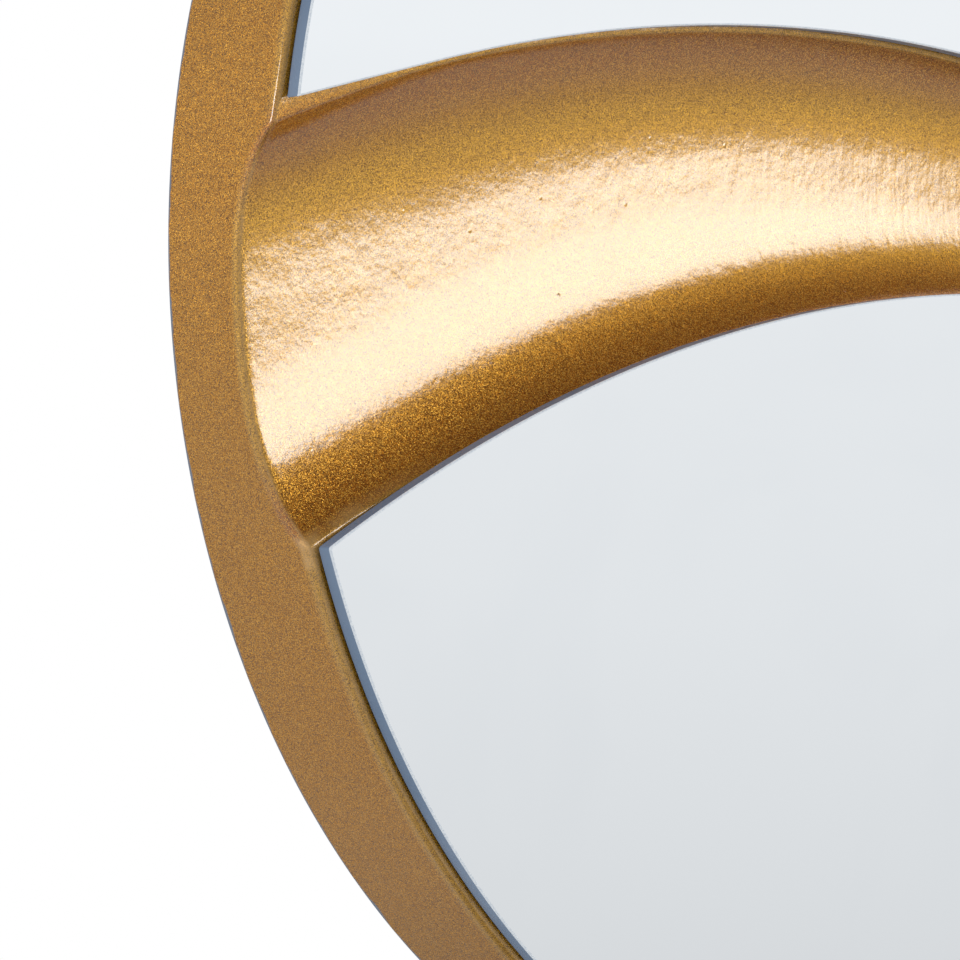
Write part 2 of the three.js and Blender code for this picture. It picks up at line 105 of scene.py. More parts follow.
# ---- Node trees ---------------------------------------------------------------------------------------------
class Graph:
    """Adds nodes to a node tree and wires them, so that a rule reads as a formula."""

    def __init__(self, tree: bpy.types.NodeTree) -> None:
        """Works on one node tree."""
        self.tree = tree

    def feed(self, socket: Socket, value: Value) -> None:
        """Links a socket to another one, or sets its own value.

        Args:
            socket: The input that is fed.
            value: An output to link, or a plain value.
        """
        if isinstance(value, bpy.types.NodeSocket):
            self.tree.links.new(value, socket)
        else:
            socket.default_value = value

    def add(self, kind: str, inputs: Mapping[str | int, Value] | None = None, **settings: object) -> bpy.types.Node:
        """Adds a node.

        Args:
            kind: The node's type name.
            inputs: What each input takes, by name or index.
            **settings: The node's own settings.

        Returns:
            The new node.
        """
        node = self.tree.nodes.new(kind)
        for name, value in settings.items():
            setattr(node, name, value)
        for key, value in (inputs or {}).items():
            self.feed(node.inputs[key], value)
        return node

    def maths(self, operation: str, *values: Value) -> Socket:
        """Adds one math node and returns its result."""
        return self.add("ShaderNodeMath", dict(enumerate(values)), operation=operation).outputs[0]

    def vector(self, operation: str, *values: Value) -> Socket:
        """Adds one vector math node and returns its vector."""
        return self.add("ShaderNodeVectorMath", dict(enumerate(values)), operation=operation).outputs[0]

    def ramp(self, value: Value, low: float, high: float, to_low: float = 0.0, to_high: float = 1.0) -> Socket:
        """Maps a value from one range to another with soft ends, and returns the result."""
        inputs = {0: value, 1: low, 2: high, 3: to_low, 4: to_high}
        return self.add("ShaderNodeMapRange", inputs, interpolation_type="SMOOTHSTEP").outputs[0]

    def choose(self, share: Value, first: Value, second: Value) -> Socket:
        """Blends two numbers by a share from 0 to 1 and returns the result."""
        return self.add("ShaderNodeMix", {0: share, 2: first, 3: second}, data_type="FLOAT").outputs[0]

    def mix(self, factor: Value, first: Value, second: Value) -> Socket:
        """Mixes two colours and returns the result."""
        return self.add("ShaderNodeMix", {0: factor, 6: first, 7: second}, data_type="RGBA").outputs[2]

    def parts(self, vector: Socket) -> Sequence[Socket]:
        """Splits a vector and returns its three numbers."""
        return self.add("ShaderNodeSeparateXYZ", {0: vector}).outputs

    def span(self, first: Socket, second: Socket) -> Socket:
        """Returns the length of a line from its two legs."""
        squares = [self.maths("MULTIPLY", leg, leg) for leg in (first, second)]
        return self.maths("SQRT", self.maths("ADD", *squares))

    def noise(self, size: Value, detail: float, **more: Value) -> Socket:
        """Adds a noise.

        Args:
            size: How large its blots are, in metres.
            detail: How many finer layers it has.
            **more: Its other inputs, by name.

        Returns:
            The noise, 0 to 1.
        """
        scale = 1 / size if isinstance(size, float) else self.maths("DIVIDE", 1.0, size)
        return self.add("ShaderNodeTexNoise", {"Scale": scale, "Detail": detail, **more}).outputs["Fac"]

    def cells(self, place: Socket, size: float) -> Mapping[str, Socket]:
        """Adds cells of a size in metres and returns their colours and distances."""
        return self.add("ShaderNodeTexVoronoi", {"Vector": place, "Scale": 1 / size}).outputs

    def bump(self, height: Socket, distance: float, **more: Value) -> Socket:
        """Turns a height into a normal. The distance is what a height of 1 stands for, in metres."""
        inputs = {"Height": height, "Distance": distance, "Strength": 1.0, **more}
        return self.add("ShaderNodeBump", inputs).outputs[0]

    def object_place(self) -> Socket:
        """Returns the point on the object, in metres."""
        return self.add("ShaderNodeTexCoord").outputs["Object"]


class GrowthTree(Graph):
    """A Geometry Nodes tree with a named input for each size."""

    def __init__(self, name: str) -> None:
        """Starts the tree with its geometry input and output.

        Args:
            name: The tree's name.
        """
        super().__init__(bpy.data.node_groups.new(name, "GeometryNodeTree"))
        for way in ("INPUT", "OUTPUT"):
            self.tree.interface.new_socket(name="Geometry", in_out=way, socket_type="NodeSocketGeometry")
        self.source = self.add("NodeGroupInput")
        self.values: dict[str, float | int] = {}

    @property
    def seed(self) -> Socket:
        """The geometry that the tree starts from."""
        return self.source.outputs[0]

    def size(self, label: str, value: float) -> Socket:
        """Adds a named input and returns it.

        Args:
            label: The input's name.
            value: What this object gives it. A whole number makes it a count.

        Returns:
            The input, ready to be linked.
        """
        kind = "NodeSocketInt" if isinstance(value, int) else "NodeSocketFloat"
        made = self.tree.interface.new_socket(name=label, in_out="INPUT", socket_type=kind)
        self.values[made.identifier] = value
        return self.source.outputs[label]

    def attribute(self, name: str) -> Socket:
        """Reads a number that the starting mesh carries at each point."""
        return self.add("GeometryNodeInputNamedAttribute", {"Name": name}, data_type="FLOAT").outputs[0]

    def position(self) -> Sequence[Socket]:
        """Returns each point's X, Y and Z."""
        return self.parts(self.add("GeometryNodeInputPosition").outputs[0])

    def repeat(self, points: Socket, material: bpy.types.Material) -> None:
        """Ends the tree with a copy of the starting mesh at each point."""
        copies = self.add("GeometryNodeInstanceOnPoints", {"Points": points, "Instance": self.seed}).outputs[0]
        self.close(copies, material)

    def close(self, geometry: Socket, material: bpy.types.Material) -> None:
        """Ends the tree with smooth shading, real meshes and a material.

        Args:
            geometry: What the tree has made.
            material: What it is made of.
        """
        smooth = self.add("GeometryNodeSetShadeSmooth", {"Geometry": geometry}).outputs[0]
        real = self.add("GeometryNodeRealizeInstances", {"Geometry": smooth}).outputs[0]
        dressed = self.add("GeometryNodeSetMaterial", {"Geometry": real, "Material": material}).outputs[0]
        self.add("NodeGroupOutput", {0: dressed})

    def grow(self, piece: bpy.types.Object) -> bpy.types.Object:
        """Runs the tree on an object and leaves it as a plain mesh.

        Args:
            piece: The object that holds the starting mesh.

        Returns:
            The same object, with the result as its mesh and no modifier.
        """
        modifier = piece.modifiers.new(self.tree.name, "NODES")
        modifier.node_group = self.tree
        for identifier, value in self.values.items():
            modifier[identifier] = value
        bpy.context.view_layer.update()
        evaluated = piece.evaluated_get(bpy.context.evaluated_depsgraph_get())
        mesh = bpy.data.meshes.new_from_object(evaluated)
        piece.modifiers.remove(modifier)
        mesh.name = piece.name
        piece.data = mesh
        return piece


def new_piece(name: str, points: Sequence[Sequence[float]], faces: Sequence[Sequence[int]] = (),
              edges: Sequence[Sequence[int]] = ()) -> bpy.types.Object:
    """Makes a mesh object in the scene.

    Args:
        name: The piece's name.
        points: Its vertices.
        faces: Its faces, as vertex numbers.
        edges: Its loose edges, as vertex numbers.

    Returns:
        The new object, at the origin.
    """
    mesh = bpy.data.meshes.new(name)
    mesh.from_pydata([tuple(point) for point in points], [tuple(edge) for edge in edges],
                     [tuple(face) for face in faces])
    piece = bpy.data.objects.new(name, mesh)
    bpy.context.scene.collection.objects.link(piece)
    return piece


def ring_faces(rings: int, sides: int, first: int = 0) -> list[tuple[int, ...]]:
    """Joins rings of points with faces.

    Args:
        rings: How many rings there are, one after the other.
        sides: How many points each has.
        first: The number of the first point.

    Returns:
        The faces, as point numbers.
    """
    faces = []
    for near in range(first, first + (rings - 1) * sides, sides):
        far = near + sides
        faces += [(near + i, near + (i + 1) % sides, far + (i + 1) % sides, far + i) for i in range(sides)]
    return faces


def stand_off(thing: bpy.types.Object, aim: Vector, azimuth: float, elevation: float, distance: float) -> None:
    """Puts a camera or lamp into the scene and turns it to a point.

    Args:
        thing: The camera or lamp.
        aim: The point.
        azimuth: The direction it stands in, in degrees from the front towards +X.
        elevation: How far up it stands, in degrees.
        distance: How far from the point it stands.
    """
    aside, up = math.radians(azimuth), math.radians(elevation)
    way = Vector((math.sin(aside) * math.cos(up), -math.cos(aside) * math.cos(up), math.sin(up)))
    thing.location = aim + way * distance
    thing.rotation_mode = "QUATERNION"
    thing.rotation_quaternion = (-way).to_track_quat("-Z", "Y")
    bpy.context.scene.collection.objects.link(thing)


def set_shading(mesh: bpy.types.Mesh, sharp_from: float) -> None:
    """Shades a mesh smooth, apart from edges that turn more than an angle in degrees."""
    mesh.polygons.foreach_set("use_smooth", [True] * len(mesh.polygons))
    mesh.set_sharp_from_angle(angle=math.radians(sharp_from))


# ---- Shared surface effects ---------------------------------------------------------------------------------
class SurfaceEffects:
    """Shader node groups that several finishes share. Each is built once."""

    built: dict[str, bpy.types.NodeTree] = {}

    @classmethod
    def start(cls, name: str, values: Mapping[str, float], masks: Sequence[str]) -> tuple[Graph, bpy.types.Node]:
        """Starts a group with its number inputs and outputs.

        Args:
            name: The group's name.
            values: Its number inputs, with their usual values.
            masks: Its outputs' names.

        Returns:
            The group's graph and its input node.
        """
        tree = bpy.data.node_groups.new(name, "ShaderNodeTree")
        for label, value in values.items():
            made = tree.interface.new_socket(name=label, in_out="INPUT", socket_type="NodeSocketFloat")
            made.default_value = value
        for label in masks:
            tree.interface.new_socket(name=label, in_out="OUTPUT", socket_type="NodeSocketFloat")
        cls.built[name] = tree
        graph = Graph(tree)
        return graph, graph.add("NodeGroupInput")

    @classmethod
    def grain(cls) -> bpy.types.NodeTree:
        """Fine mottling of a size in metres, with a wider, softer drift over it.

        Returns:
            The group, with the masks "Speck" and "Drift".
        """
        name = "Fine grain"
        if name not in cls.built:
            graph, values = cls.start(name, {"Size": 0.001, "Drift size": 0.03}, ["Speck", "Drift"])
            place = graph.object_place()
            graph.add("NodeGroupOutput", {
                label: graph.ramp(graph.noise(values.outputs[size], 3.0, Vector=place), 0.3, 0.7)
                for label, size in (("Speck", "Size"), ("Drift", "Drift size"))})
        return cls.built[name]

    @classmethod
    def handling(cls) -> bpy.types.NodeTree:
        """Rubbed and smudged patches, and hair scratches.

        Returns:
            The group, with the masks "Rubbed" and "Scratch".
        """
        name = "Handling marks"
        if name not in cls.built:
            graph, values = cls.start(name, {"Patch size": 0.05, "Scratch width": 0.0004}, ["Rubbed", "Scratch"])
            place = graph.object_place()
            patch = graph.noise(values.outputs["Patch size"], 4.0, Vector=place, Distortion=0.6)
            stretched = graph.vector("MULTIPLY", place, (1.0, 1.0, 0.06))
            hairs = graph.noise(values.outputs["Scratch width"], 1.0, Vector=stretched)
            graph.add("NodeGroupOutput", {
                "Rubbed": graph.ramp(patch, 0.42, 0.68),
                "Scratch": graph.ramp(hairs, 0.6, 0.72),
            })
        return cls.built[name]


class Finish:
    """What every finish shares: a material with its Principled shader and node graph."""

    def start(self, name: str, **plain: Value) -> tuple[bpy.types.Material, Graph, bpy.types.Node]:
        """Starts a material.

        Args:
            name: The material's name.
            **plain: Plain shader values, with underscores for the spaces in the sockets' names.

        Returns:
            The material, its graph and its Principled shader.
        """
        material = bpy.data.materials.new(name)
        material.use_nodes = True
        graph = Graph(material.node_tree)
        shader = material.node_tree.nodes["Principled BSDF"]
        for label, value in plain.items():
            shader.inputs[label.replace("_", " ")].default_value = value
        return material, graph, shader

    def effect(self, graph: Graph, tree: bpy.types.NodeTree, **values: float) -> Mapping[str, Socket]:
        """Places a shared effect in a material, with this finish's own values.

        Args:
            graph: The material's graph.
            tree: The effect.
            **values: Its inputs, with underscores for the spaces in their names.

        Returns:
            Its masks, by name.
        """
        node = graph.add("ShaderNodeGroup", node_tree=tree)
        for label, value in values.items():
            node.inputs[label.replace("_", " ")].default_value = value
        return node.outputs

    def dress(self, graph: Graph, shader: bpy.types.Node, colour: Socket,
              rough: tuple[Socket, float, float] | None = None, relief: tuple[Socket, float] | None = None) -> None:
        """Feeds the shader with what changes over the surface.

        Args:
            graph: The material's graph.
            shader: Its Principled shader.
            colour: The base colour.
            rough: A mask, the roughness that it adds and the roughness without it.
            relief: A mask and the height that it stands for, in metres.
        """
        graph.feed(shader.inputs["Base Color"], colour)
        if rough:
            graph.feed(shader.inputs["Roughness"], graph.maths("MULTIPLY_ADD", *rough))
        if relief:
            graph.feed(shader.inputs["Normal"], graph.bump(*relief))


# ---- Finishes -----------------------------------------------------------------------------------------------
@dataclass(frozen=True)
class FlakedGoldPaint(Finish):
    """Sprayed gold paint: bright flakes in a brown binder under a clear coat, with a ragged back edge.

    The drum carries three marks for it: painted shade, a darker and redder brown on the scoop's steep flanks
    and on the outer wall; "wall", where the clear coat is thinner; and a pale mark, partly rubbing and partly painted
    highlight along the rim's arris, and painted highlight along the lower lip by the left rim.
    """

    gold: Colour = (0.65, 0.338, 0.022, 1.0)
    # painted shade: the darker, redder brown for the scoop's steep flanks and the outer wall
    flank_shade_gold: Colour = (0.48, 0.153, 0.005, 1.0)
    # pale gold for rubbing and for the painted highlight on the rim's arris and the lower lip by the left rim
    pale_rub_and_highlight: Colour = (0.80, 0.48, 0.17, 1.0)
    binder: Colour = (0.09, 0.026, 0.003, 1.0)
    glint: Colour = (0.96, 0.50, 0.065, 1.0)
    undercoat: Colour = rgb(112, 122, 138)
    flake_size: float = 0.22 * MM
    flake_tilt: float = 0.44
    peel_size: float = 2.2 * MM
    peel_height: float = 0.058 * MM
    wave_size: float = 8.0 * MM
    wave_height: float = 0.10 * MM
    stroke_width: float = 3.2 * MM
    stroke_length: float = 16 * MM
    stroke_height: float = 0.055 * MM
    nib_spacing: float = 14 * MM
    nib_radius: float = 0.9 * MM
    nib_height: float = 0.10 * MM
    # size of the patches that break up the pale rubbing and painted highlight
    rub_and_highlight_size: float = 9 * MM
    bare_edge: float = 1.6 * MM
    bare_patch: float = 12 * MM
    wall_coat: float = 0.6
    metallic: float = 0.62
    roughness: float = 0.36

    def material(self, back_edge: float, pole: tuple[float, float]) -> bpy.types.Material:
        """Builds the paint.

        Args:
            back_edge: The Y of the drum's back edge, where the sprayed paint runs out.
            pole: The X and Z of the point that the scoop turns about.

        Returns:
            The material.
        """
        material, graph, shader = self.start("flaked_gold_paint", Specular_IOR_Level=0.0, Coat_Roughness=0.14,
                                             Coat_IOR=1.95)
        place = graph.object_place()
        flakes = graph.cells(place, self.flake_size)["Color"]
        bright, dull = graph.parts(flakes)[:2]
        grain = self.effect(graph, SurfaceEffects.grain(), Size=1.6 * MM, Drift_size=45 * MM)
        flank_shade_share, wall, worn_and_highlight = (graph.add("ShaderNodeAttribute", attribute_name=mark).outputs["Fac"]
                            for mark in ("painted_flank_shade", "wall", "worn_and_highlight"))
        # painted shade: the steep flanks and the outer wall turn to the darker, redder brown
        colour = graph.mix(flank_shade_share, self.gold, self.flank_shade_gold)
        colour = graph.mix(graph.ramp(dull, 0.35, 0.85, 0.0, 0.85), colour, self.binder)
        colour = graph.mix(graph.ramp(bright, 0.60, 0.95, 0.0, 0.90), colour, self.glint)
        colour = graph.mix(graph.maths("MULTIPLY", grain["Speck"], 0.04), colour, self.binder)
        # pale rubbing and painted highlight on the arris and the lower lip, broken into patches
        rub_and_highlight = graph.ramp(graph.noise(self.rub_and_highlight_size, 4.0, Vector=place), 0.30, 0.62, 0.25, 0.85)
        colour = graph.mix(graph.maths("MULTIPLY", worn_and_highlight, rub_and_highlight), colour, self.pale_rub_and_highlight)
        bare = self.bare_mask(graph, place, back_edge)
        self.dress(graph, shader, graph.mix(bare, colour, self.undercoat), (grain["Drift"], 0.05, self.roughness))
        graph.feed(shader.inputs["Metallic"], graph.ramp(bare, 0.0, 1.0, self.metallic, 0.0))
        graph.feed(shader.inputs["Coat Weight"], graph.maths("MULTIPLY_ADD", wall, self.wall_coat - 1.0, 1.0))
        height = self.skin_height(graph, place, pole)
        graph.feed(shader.inputs["Normal"], graph.bump(height, 1.0, Normal=self.flake_normal(graph, flakes)))
        graph.feed(shader.inputs["Coat Normal"], graph.bump(height, 1.0))
        return material

    def bare_mask(self, graph: Graph, place: Socket, back_edge: float) -> Socket:
        """Marks the ragged strip along the back edge where the undercoat shows.

        Args:
            graph: The material's graph.
            place: The point on the object.
            back_edge: The Y of the drum's back edge.

        Returns:
            The mask, 1 where the undercoat shows.
        """
        ragged = graph.noise(self.bare_patch, 3.0, Vector=place)
        reach = graph.maths("MULTIPLY_ADD", ragged, 2 * self.bare_edge, -self.bare_edge)
        edge = graph.maths("ADD", graph.parts(place)[1], reach)
        start = back_edge - self.bare_edge
        return graph.ramp(edge, start - 0.5 * MM, start + 0.3 * MM)

    def flake_normal(self, graph: Graph, tilt: Socket) -> Socket:
        """Tilts each flake a little.

        Args:
            graph: The material's graph.
            tilt: A colour of its own for each flake, which says where it leans.

        Returns:
            The normal.
        """
        lean = graph.vector("SCALE", graph.vector("SUBTRACT", tilt, (0.5, 0.5, 0.5)))
        lean.node.inputs["Scale"].default_value = self.flake_tilt
        surface = graph.add("ShaderNodeNewGeometry").outputs["Normal"]
        return graph.vector("NORMALIZE", graph.vector("ADD", surface, lean))

    def skin_height(self, graph: Graph, place: Socket, pole: tuple[float, float]) -> Socket:
        """Adds up the paint's orange peel, slow waves, strokes across the scoop and nibs.

        Args:
            graph: The material's graph.
            place: The point on the object.
            pole: The X and Z of the point that the scoop turns about.

        Returns:
            The skin's height in metres.
        """
        parts = graph.parts(place)
        across, up = graph.maths("SUBTRACT", parts[0], pole[0]), graph.maths("SUBTRACT", parts[2], pole[1])
        along = graph.maths("MULTIPLY", graph.maths("ARCTAN2", across, up), abs(pole[1]) / self.stroke_width)
        out = graph.maths("DIVIDE", graph.span(across, up), self.stroke_length)
        stroke_place = graph.add("ShaderNodeCombineXYZ", {0: along, 1: out}).outputs[0]
        nibs = graph.cells(place, self.nib_spacing)["Distance"]
        height = graph.ramp(nibs, 0.0, self.nib_radius / self.nib_spacing, self.nib_height, 0.0)
        for pattern, depth in ((graph.noise(self.peel_size, 2.0, Vector=place), self.peel_height),
                               (graph.noise(self.wave_size, 1.0, Vector=place), self.wave_height),
                               (graph.noise(1.0, 2.0, Vector=stroke_place), self.stroke_height)):
            height = graph.maths("MULTIPLY_ADD", pattern, depth, height)
        return height


@dataclass(frozen=True)
class PrimedComposite(Finish):
    """The bare moulded composite of the back and the inside, in a thin grey primer."""

    primer: Colour = rgb(104, 111, 122)
    thin_primer: Colour = rgb(66, 68, 72)
    grain_size: float = 0.8 * MM

    def material(self) -> bpy.types.Material:
        """Builds the primed surface.

        Returns:
            The material.
        """
        material, graph, shader = self.start("primed_composite", Specular_IOR_Level=0.35)
        grain = self.effect(graph, SurfaceEffects.grain(), Size=self.grain_size, Drift_size=30 * MM)
        colour = graph.mix(graph.maths("MULTIPLY", grain["Drift"], 0.55), self.primer, self.thin_primer)
        self.dress(graph, shader, colour, (grain["Speck"], 0.15, 0.62), (grain["Speck"], 0.08 * MM))
        return material


@dataclass(frozen=True)
class MirrorSilver(Finish):
    """Silver seen through clear glass, with the faintest haze of handling."""

    silver: Colour = (0.885, 0.920, 0.950, 1.0)
    hazed: Colour = (0.872, 0.908, 0.940, 1.0)

    def material(self) -> bpy.types.Material:
        """Builds the mirror's face.

        Returns:
            The material.
        """
        material, graph, shader = self.start("mirror_silver", Metallic=1.0, Roughness=0.0)
        marks = self.effect(graph, SurfaceEffects.handling(), Patch_size=90 * MM, Scratch_width=0.5 * MM)
        self.dress(graph, shader, graph.mix(marks["Rubbed"], self.silver, self.hazed))
        return material


@dataclass(frozen=True)
class GroundGlassEdge(Finish):
    """The ground and part polished side of the plate: blue grey from the silver behind it, and darker as painted shade.
    """

    # painted shade: the side is coloured darker than ground glass, as it looks in shade
    body: Colour = rgb(106, 130, 160)
    pale: Colour = rgb(142, 160, 186)
    streak_size: float = 1.2 * MM
    roughness: float = 0.24

    def material(self) -> bpy.types.Material:
        """Builds the plate's side.

        Returns:
            The material.
        """
        material, graph, shader = self.start("ground_glass_edge", Specular_IOR_Level=0.6, IOR=1.52)
        grain = self.effect(graph, SurfaceEffects.grain(), Size=self.streak_size, Drift_size=60 * MM)
        marks = self.effect(graph, SurfaceEffects.handling(), Patch_size=25 * MM, Scratch_width=0.6 * MM)
        colour = graph.mix(graph.maths("MULTIPLY", grain["Drift"], 0.5), self.body, self.pale)
        self.dress(graph, shader, colour, (marks["Rubbed"], 0.16, self.roughness), (grain["Speck"], 0.02 * MM))
        return material


@dataclass(frozen=True)
class SeamedArris(Finish):
    """The frosted bevel that takes the sharpness off the plate's edge."""

    frost: Colour = rgb(240, 246, 252)
    chipped: Colour = rgb(214, 224, 236)

    def material(self) -> bpy.types.Material:
        """Builds the frosted arris.

        Returns:
            The material.
        """
        material, graph, shader = self.start("seamed_arris", Specular_IOR_Level=0.7)
        grain = self.effect(graph, SurfaceEffects.grain(), Size=0.7 * MM, Drift_size=20 * MM)
        colour = graph.mix(grain["Speck"], self.frost, self.chipped)
        self.dress(graph, shader, colour, (grain["Drift"], 0.2, 0.35))
        return material


@dataclass(frozen=True)
class PressedHardboard(Finish):
    """Brown pressed fibre board, with its fibres and darker specks."""

    board: Colour = rgb(118, 84, 54)
    fibre: Colour = rgb(150, 112, 76)
    speck: Colour = rgb(62, 42, 26)
    fibre_size: float = 0.9 * MM
    chip_size: float = 3.5 * MM

    def material(self) -> bpy.types.Material:
        """Builds the board.

        Returns:
            The material.
        """
        material, graph, shader = self.start("pressed_hardboard", Specular_IOR_Level=0.3)
        grain = self.effect(graph, SurfaceEffects.grain(), Size=self.fibre_size, Drift_size=70 * MM)
        marks = self.effect(graph, SurfaceEffects.handling(), Patch_size=110 * MM, Scratch_width=1.4 * MM)
        chips = graph.cells(graph.object_place(), self.chip_size)["Distance"]
        colour = graph.mix(grain["Speck"], self.board, self.fibre)
        colour = graph.mix(graph.maths("MULTIPLY", marks["Scratch"], 0.5), colour, self.fibre)
        colour = graph.mix(graph.ramp(chips, 0.05, 0.22, 0.75, 0.0), colour, self.speck)
        self.dress(graph, shader, colour, (marks["Rubbed"], 0.12, 0.62), (grain["Speck"], 0.06 * MM))
        return material


@dataclass(frozen=True)
class ZincPlatedSteel(Finish):
    """Bright zinc plate with a faint yellow cast and hair scratches."""

    zinc: Colour = rgb(198, 200, 200)
    dull: Colour = rgb(150, 148, 140)

    def material(self) -> bpy.types.Material:
        """Builds the plated metal.

        Returns:
            The material.
        """
        material, graph, shader = self.start("zinc_plated_steel", Metallic=1.0)
        grain = self.effect(graph, SurfaceEffects.grain(), Size=0.5 * MM, Drift_size=6 * MM)
        marks = self.effect(graph, SurfaceEffects.handling(), Patch_size=5 * MM, Scratch_width=0.25 * MM)
        colour = graph.mix(marks["Rubbed"], self.zinc, self.dull)
        self.dress(graph, shader, colour, (grain["Drift"], 0.14, 0.26), (marks["Scratch"], 0.02 * MM))
        return material


@dataclass(frozen=True)
class GreyFelt(Finish):
    """Matted wool felt with loose lighter fibres."""

    wool: Colour = rgb(88, 90, 95)
    pale: Colour = rgb(134, 136, 140)

    def material(self) -> bpy.types.Material:
        """Builds the felt.

        Returns:
            The material.
        """
        material, graph, shader = self.start("grey_felt", Roughness=0.95, Sheen_Weight=0.4, Sheen_Roughness=0.5)
        grain = self.effect(graph, SurfaceEffects.grain(), Size=0.5 * MM, Drift_size=3 * MM)
        marks = self.effect(graph, SurfaceEffects.handling(), Patch_size=2 * MM, Scratch_width=0.2 * MM)
        colour = graph.mix(marks["Scratch"], graph.mix(grain["Speck"], self.wool, self.pale), self.pale)
        self.dress(graph, shader, colour, relief=(grain["Speck"], 0.2 * MM))
        return material


@dataclass(frozen=True)
class FoamTape(Finish):
    """Black closed cell foam."""

    foam: Colour = rgb(26, 26, 28)
    cell: Colour = rgb(52, 52, 55)
    cell_size: float = 0.5 * MM

    def material(self) -> bpy.types.Material:
        """Builds the foam.

        Returns:
            The material.
        """
        material, graph, shader = self.start("foam_tape", Roughness=0.9, Specular_IOR_Level=0.2)
        wall = graph.ramp(graph.cells(graph.object_place(), self.cell_size)["Distance"], 0.2, 0.6)
        self.dress(graph, shader, graph.mix(wall, self.foam, self.cell), relief=(wall, 0.1 * MM))
        return material


# ---- The front's rule ---------------------------------------------------------------------------------------
@dataclass(frozen=True)
class EdgeArc:
    """One long edge of the scoop: an arc seen from the front, in X and Z."""

    x: float
    z: float
    radius: float

    def crossings(self, rim: float) -> tuple[float, float]:
        """Finds where the arc meets a circle about the drum's axis.

        Args:
            rim: The circle's radius.

        Returns:
            The angles of the left and the right crossing about the arc's own centre, from +Z towards +X.
        """
        distance = math.hypot(self.x, self.z)
        along = (rim**2 - self.radius**2 + distance**2) / (2 * distance)
        half = math.sqrt(rim**2 - along**2)
        ux, uz = self.x / distance, self.z / distance
        ends = [(ux * along - way * uz * half, uz * along + way * ux * half) for way in (-1, 1)]
        ends.sort()
        angles = [math.atan2(x - self.x, z - self.z) for x, z in ends]
        return angles[0], angles[1]

    def point(self, angle: float) -> tuple[float, float]:
        """Gives the arc's point at an angle from +Z towards +X."""
        return self.x + self.radius * math.sin(angle), self.z + self.radius * math.cos(angle)


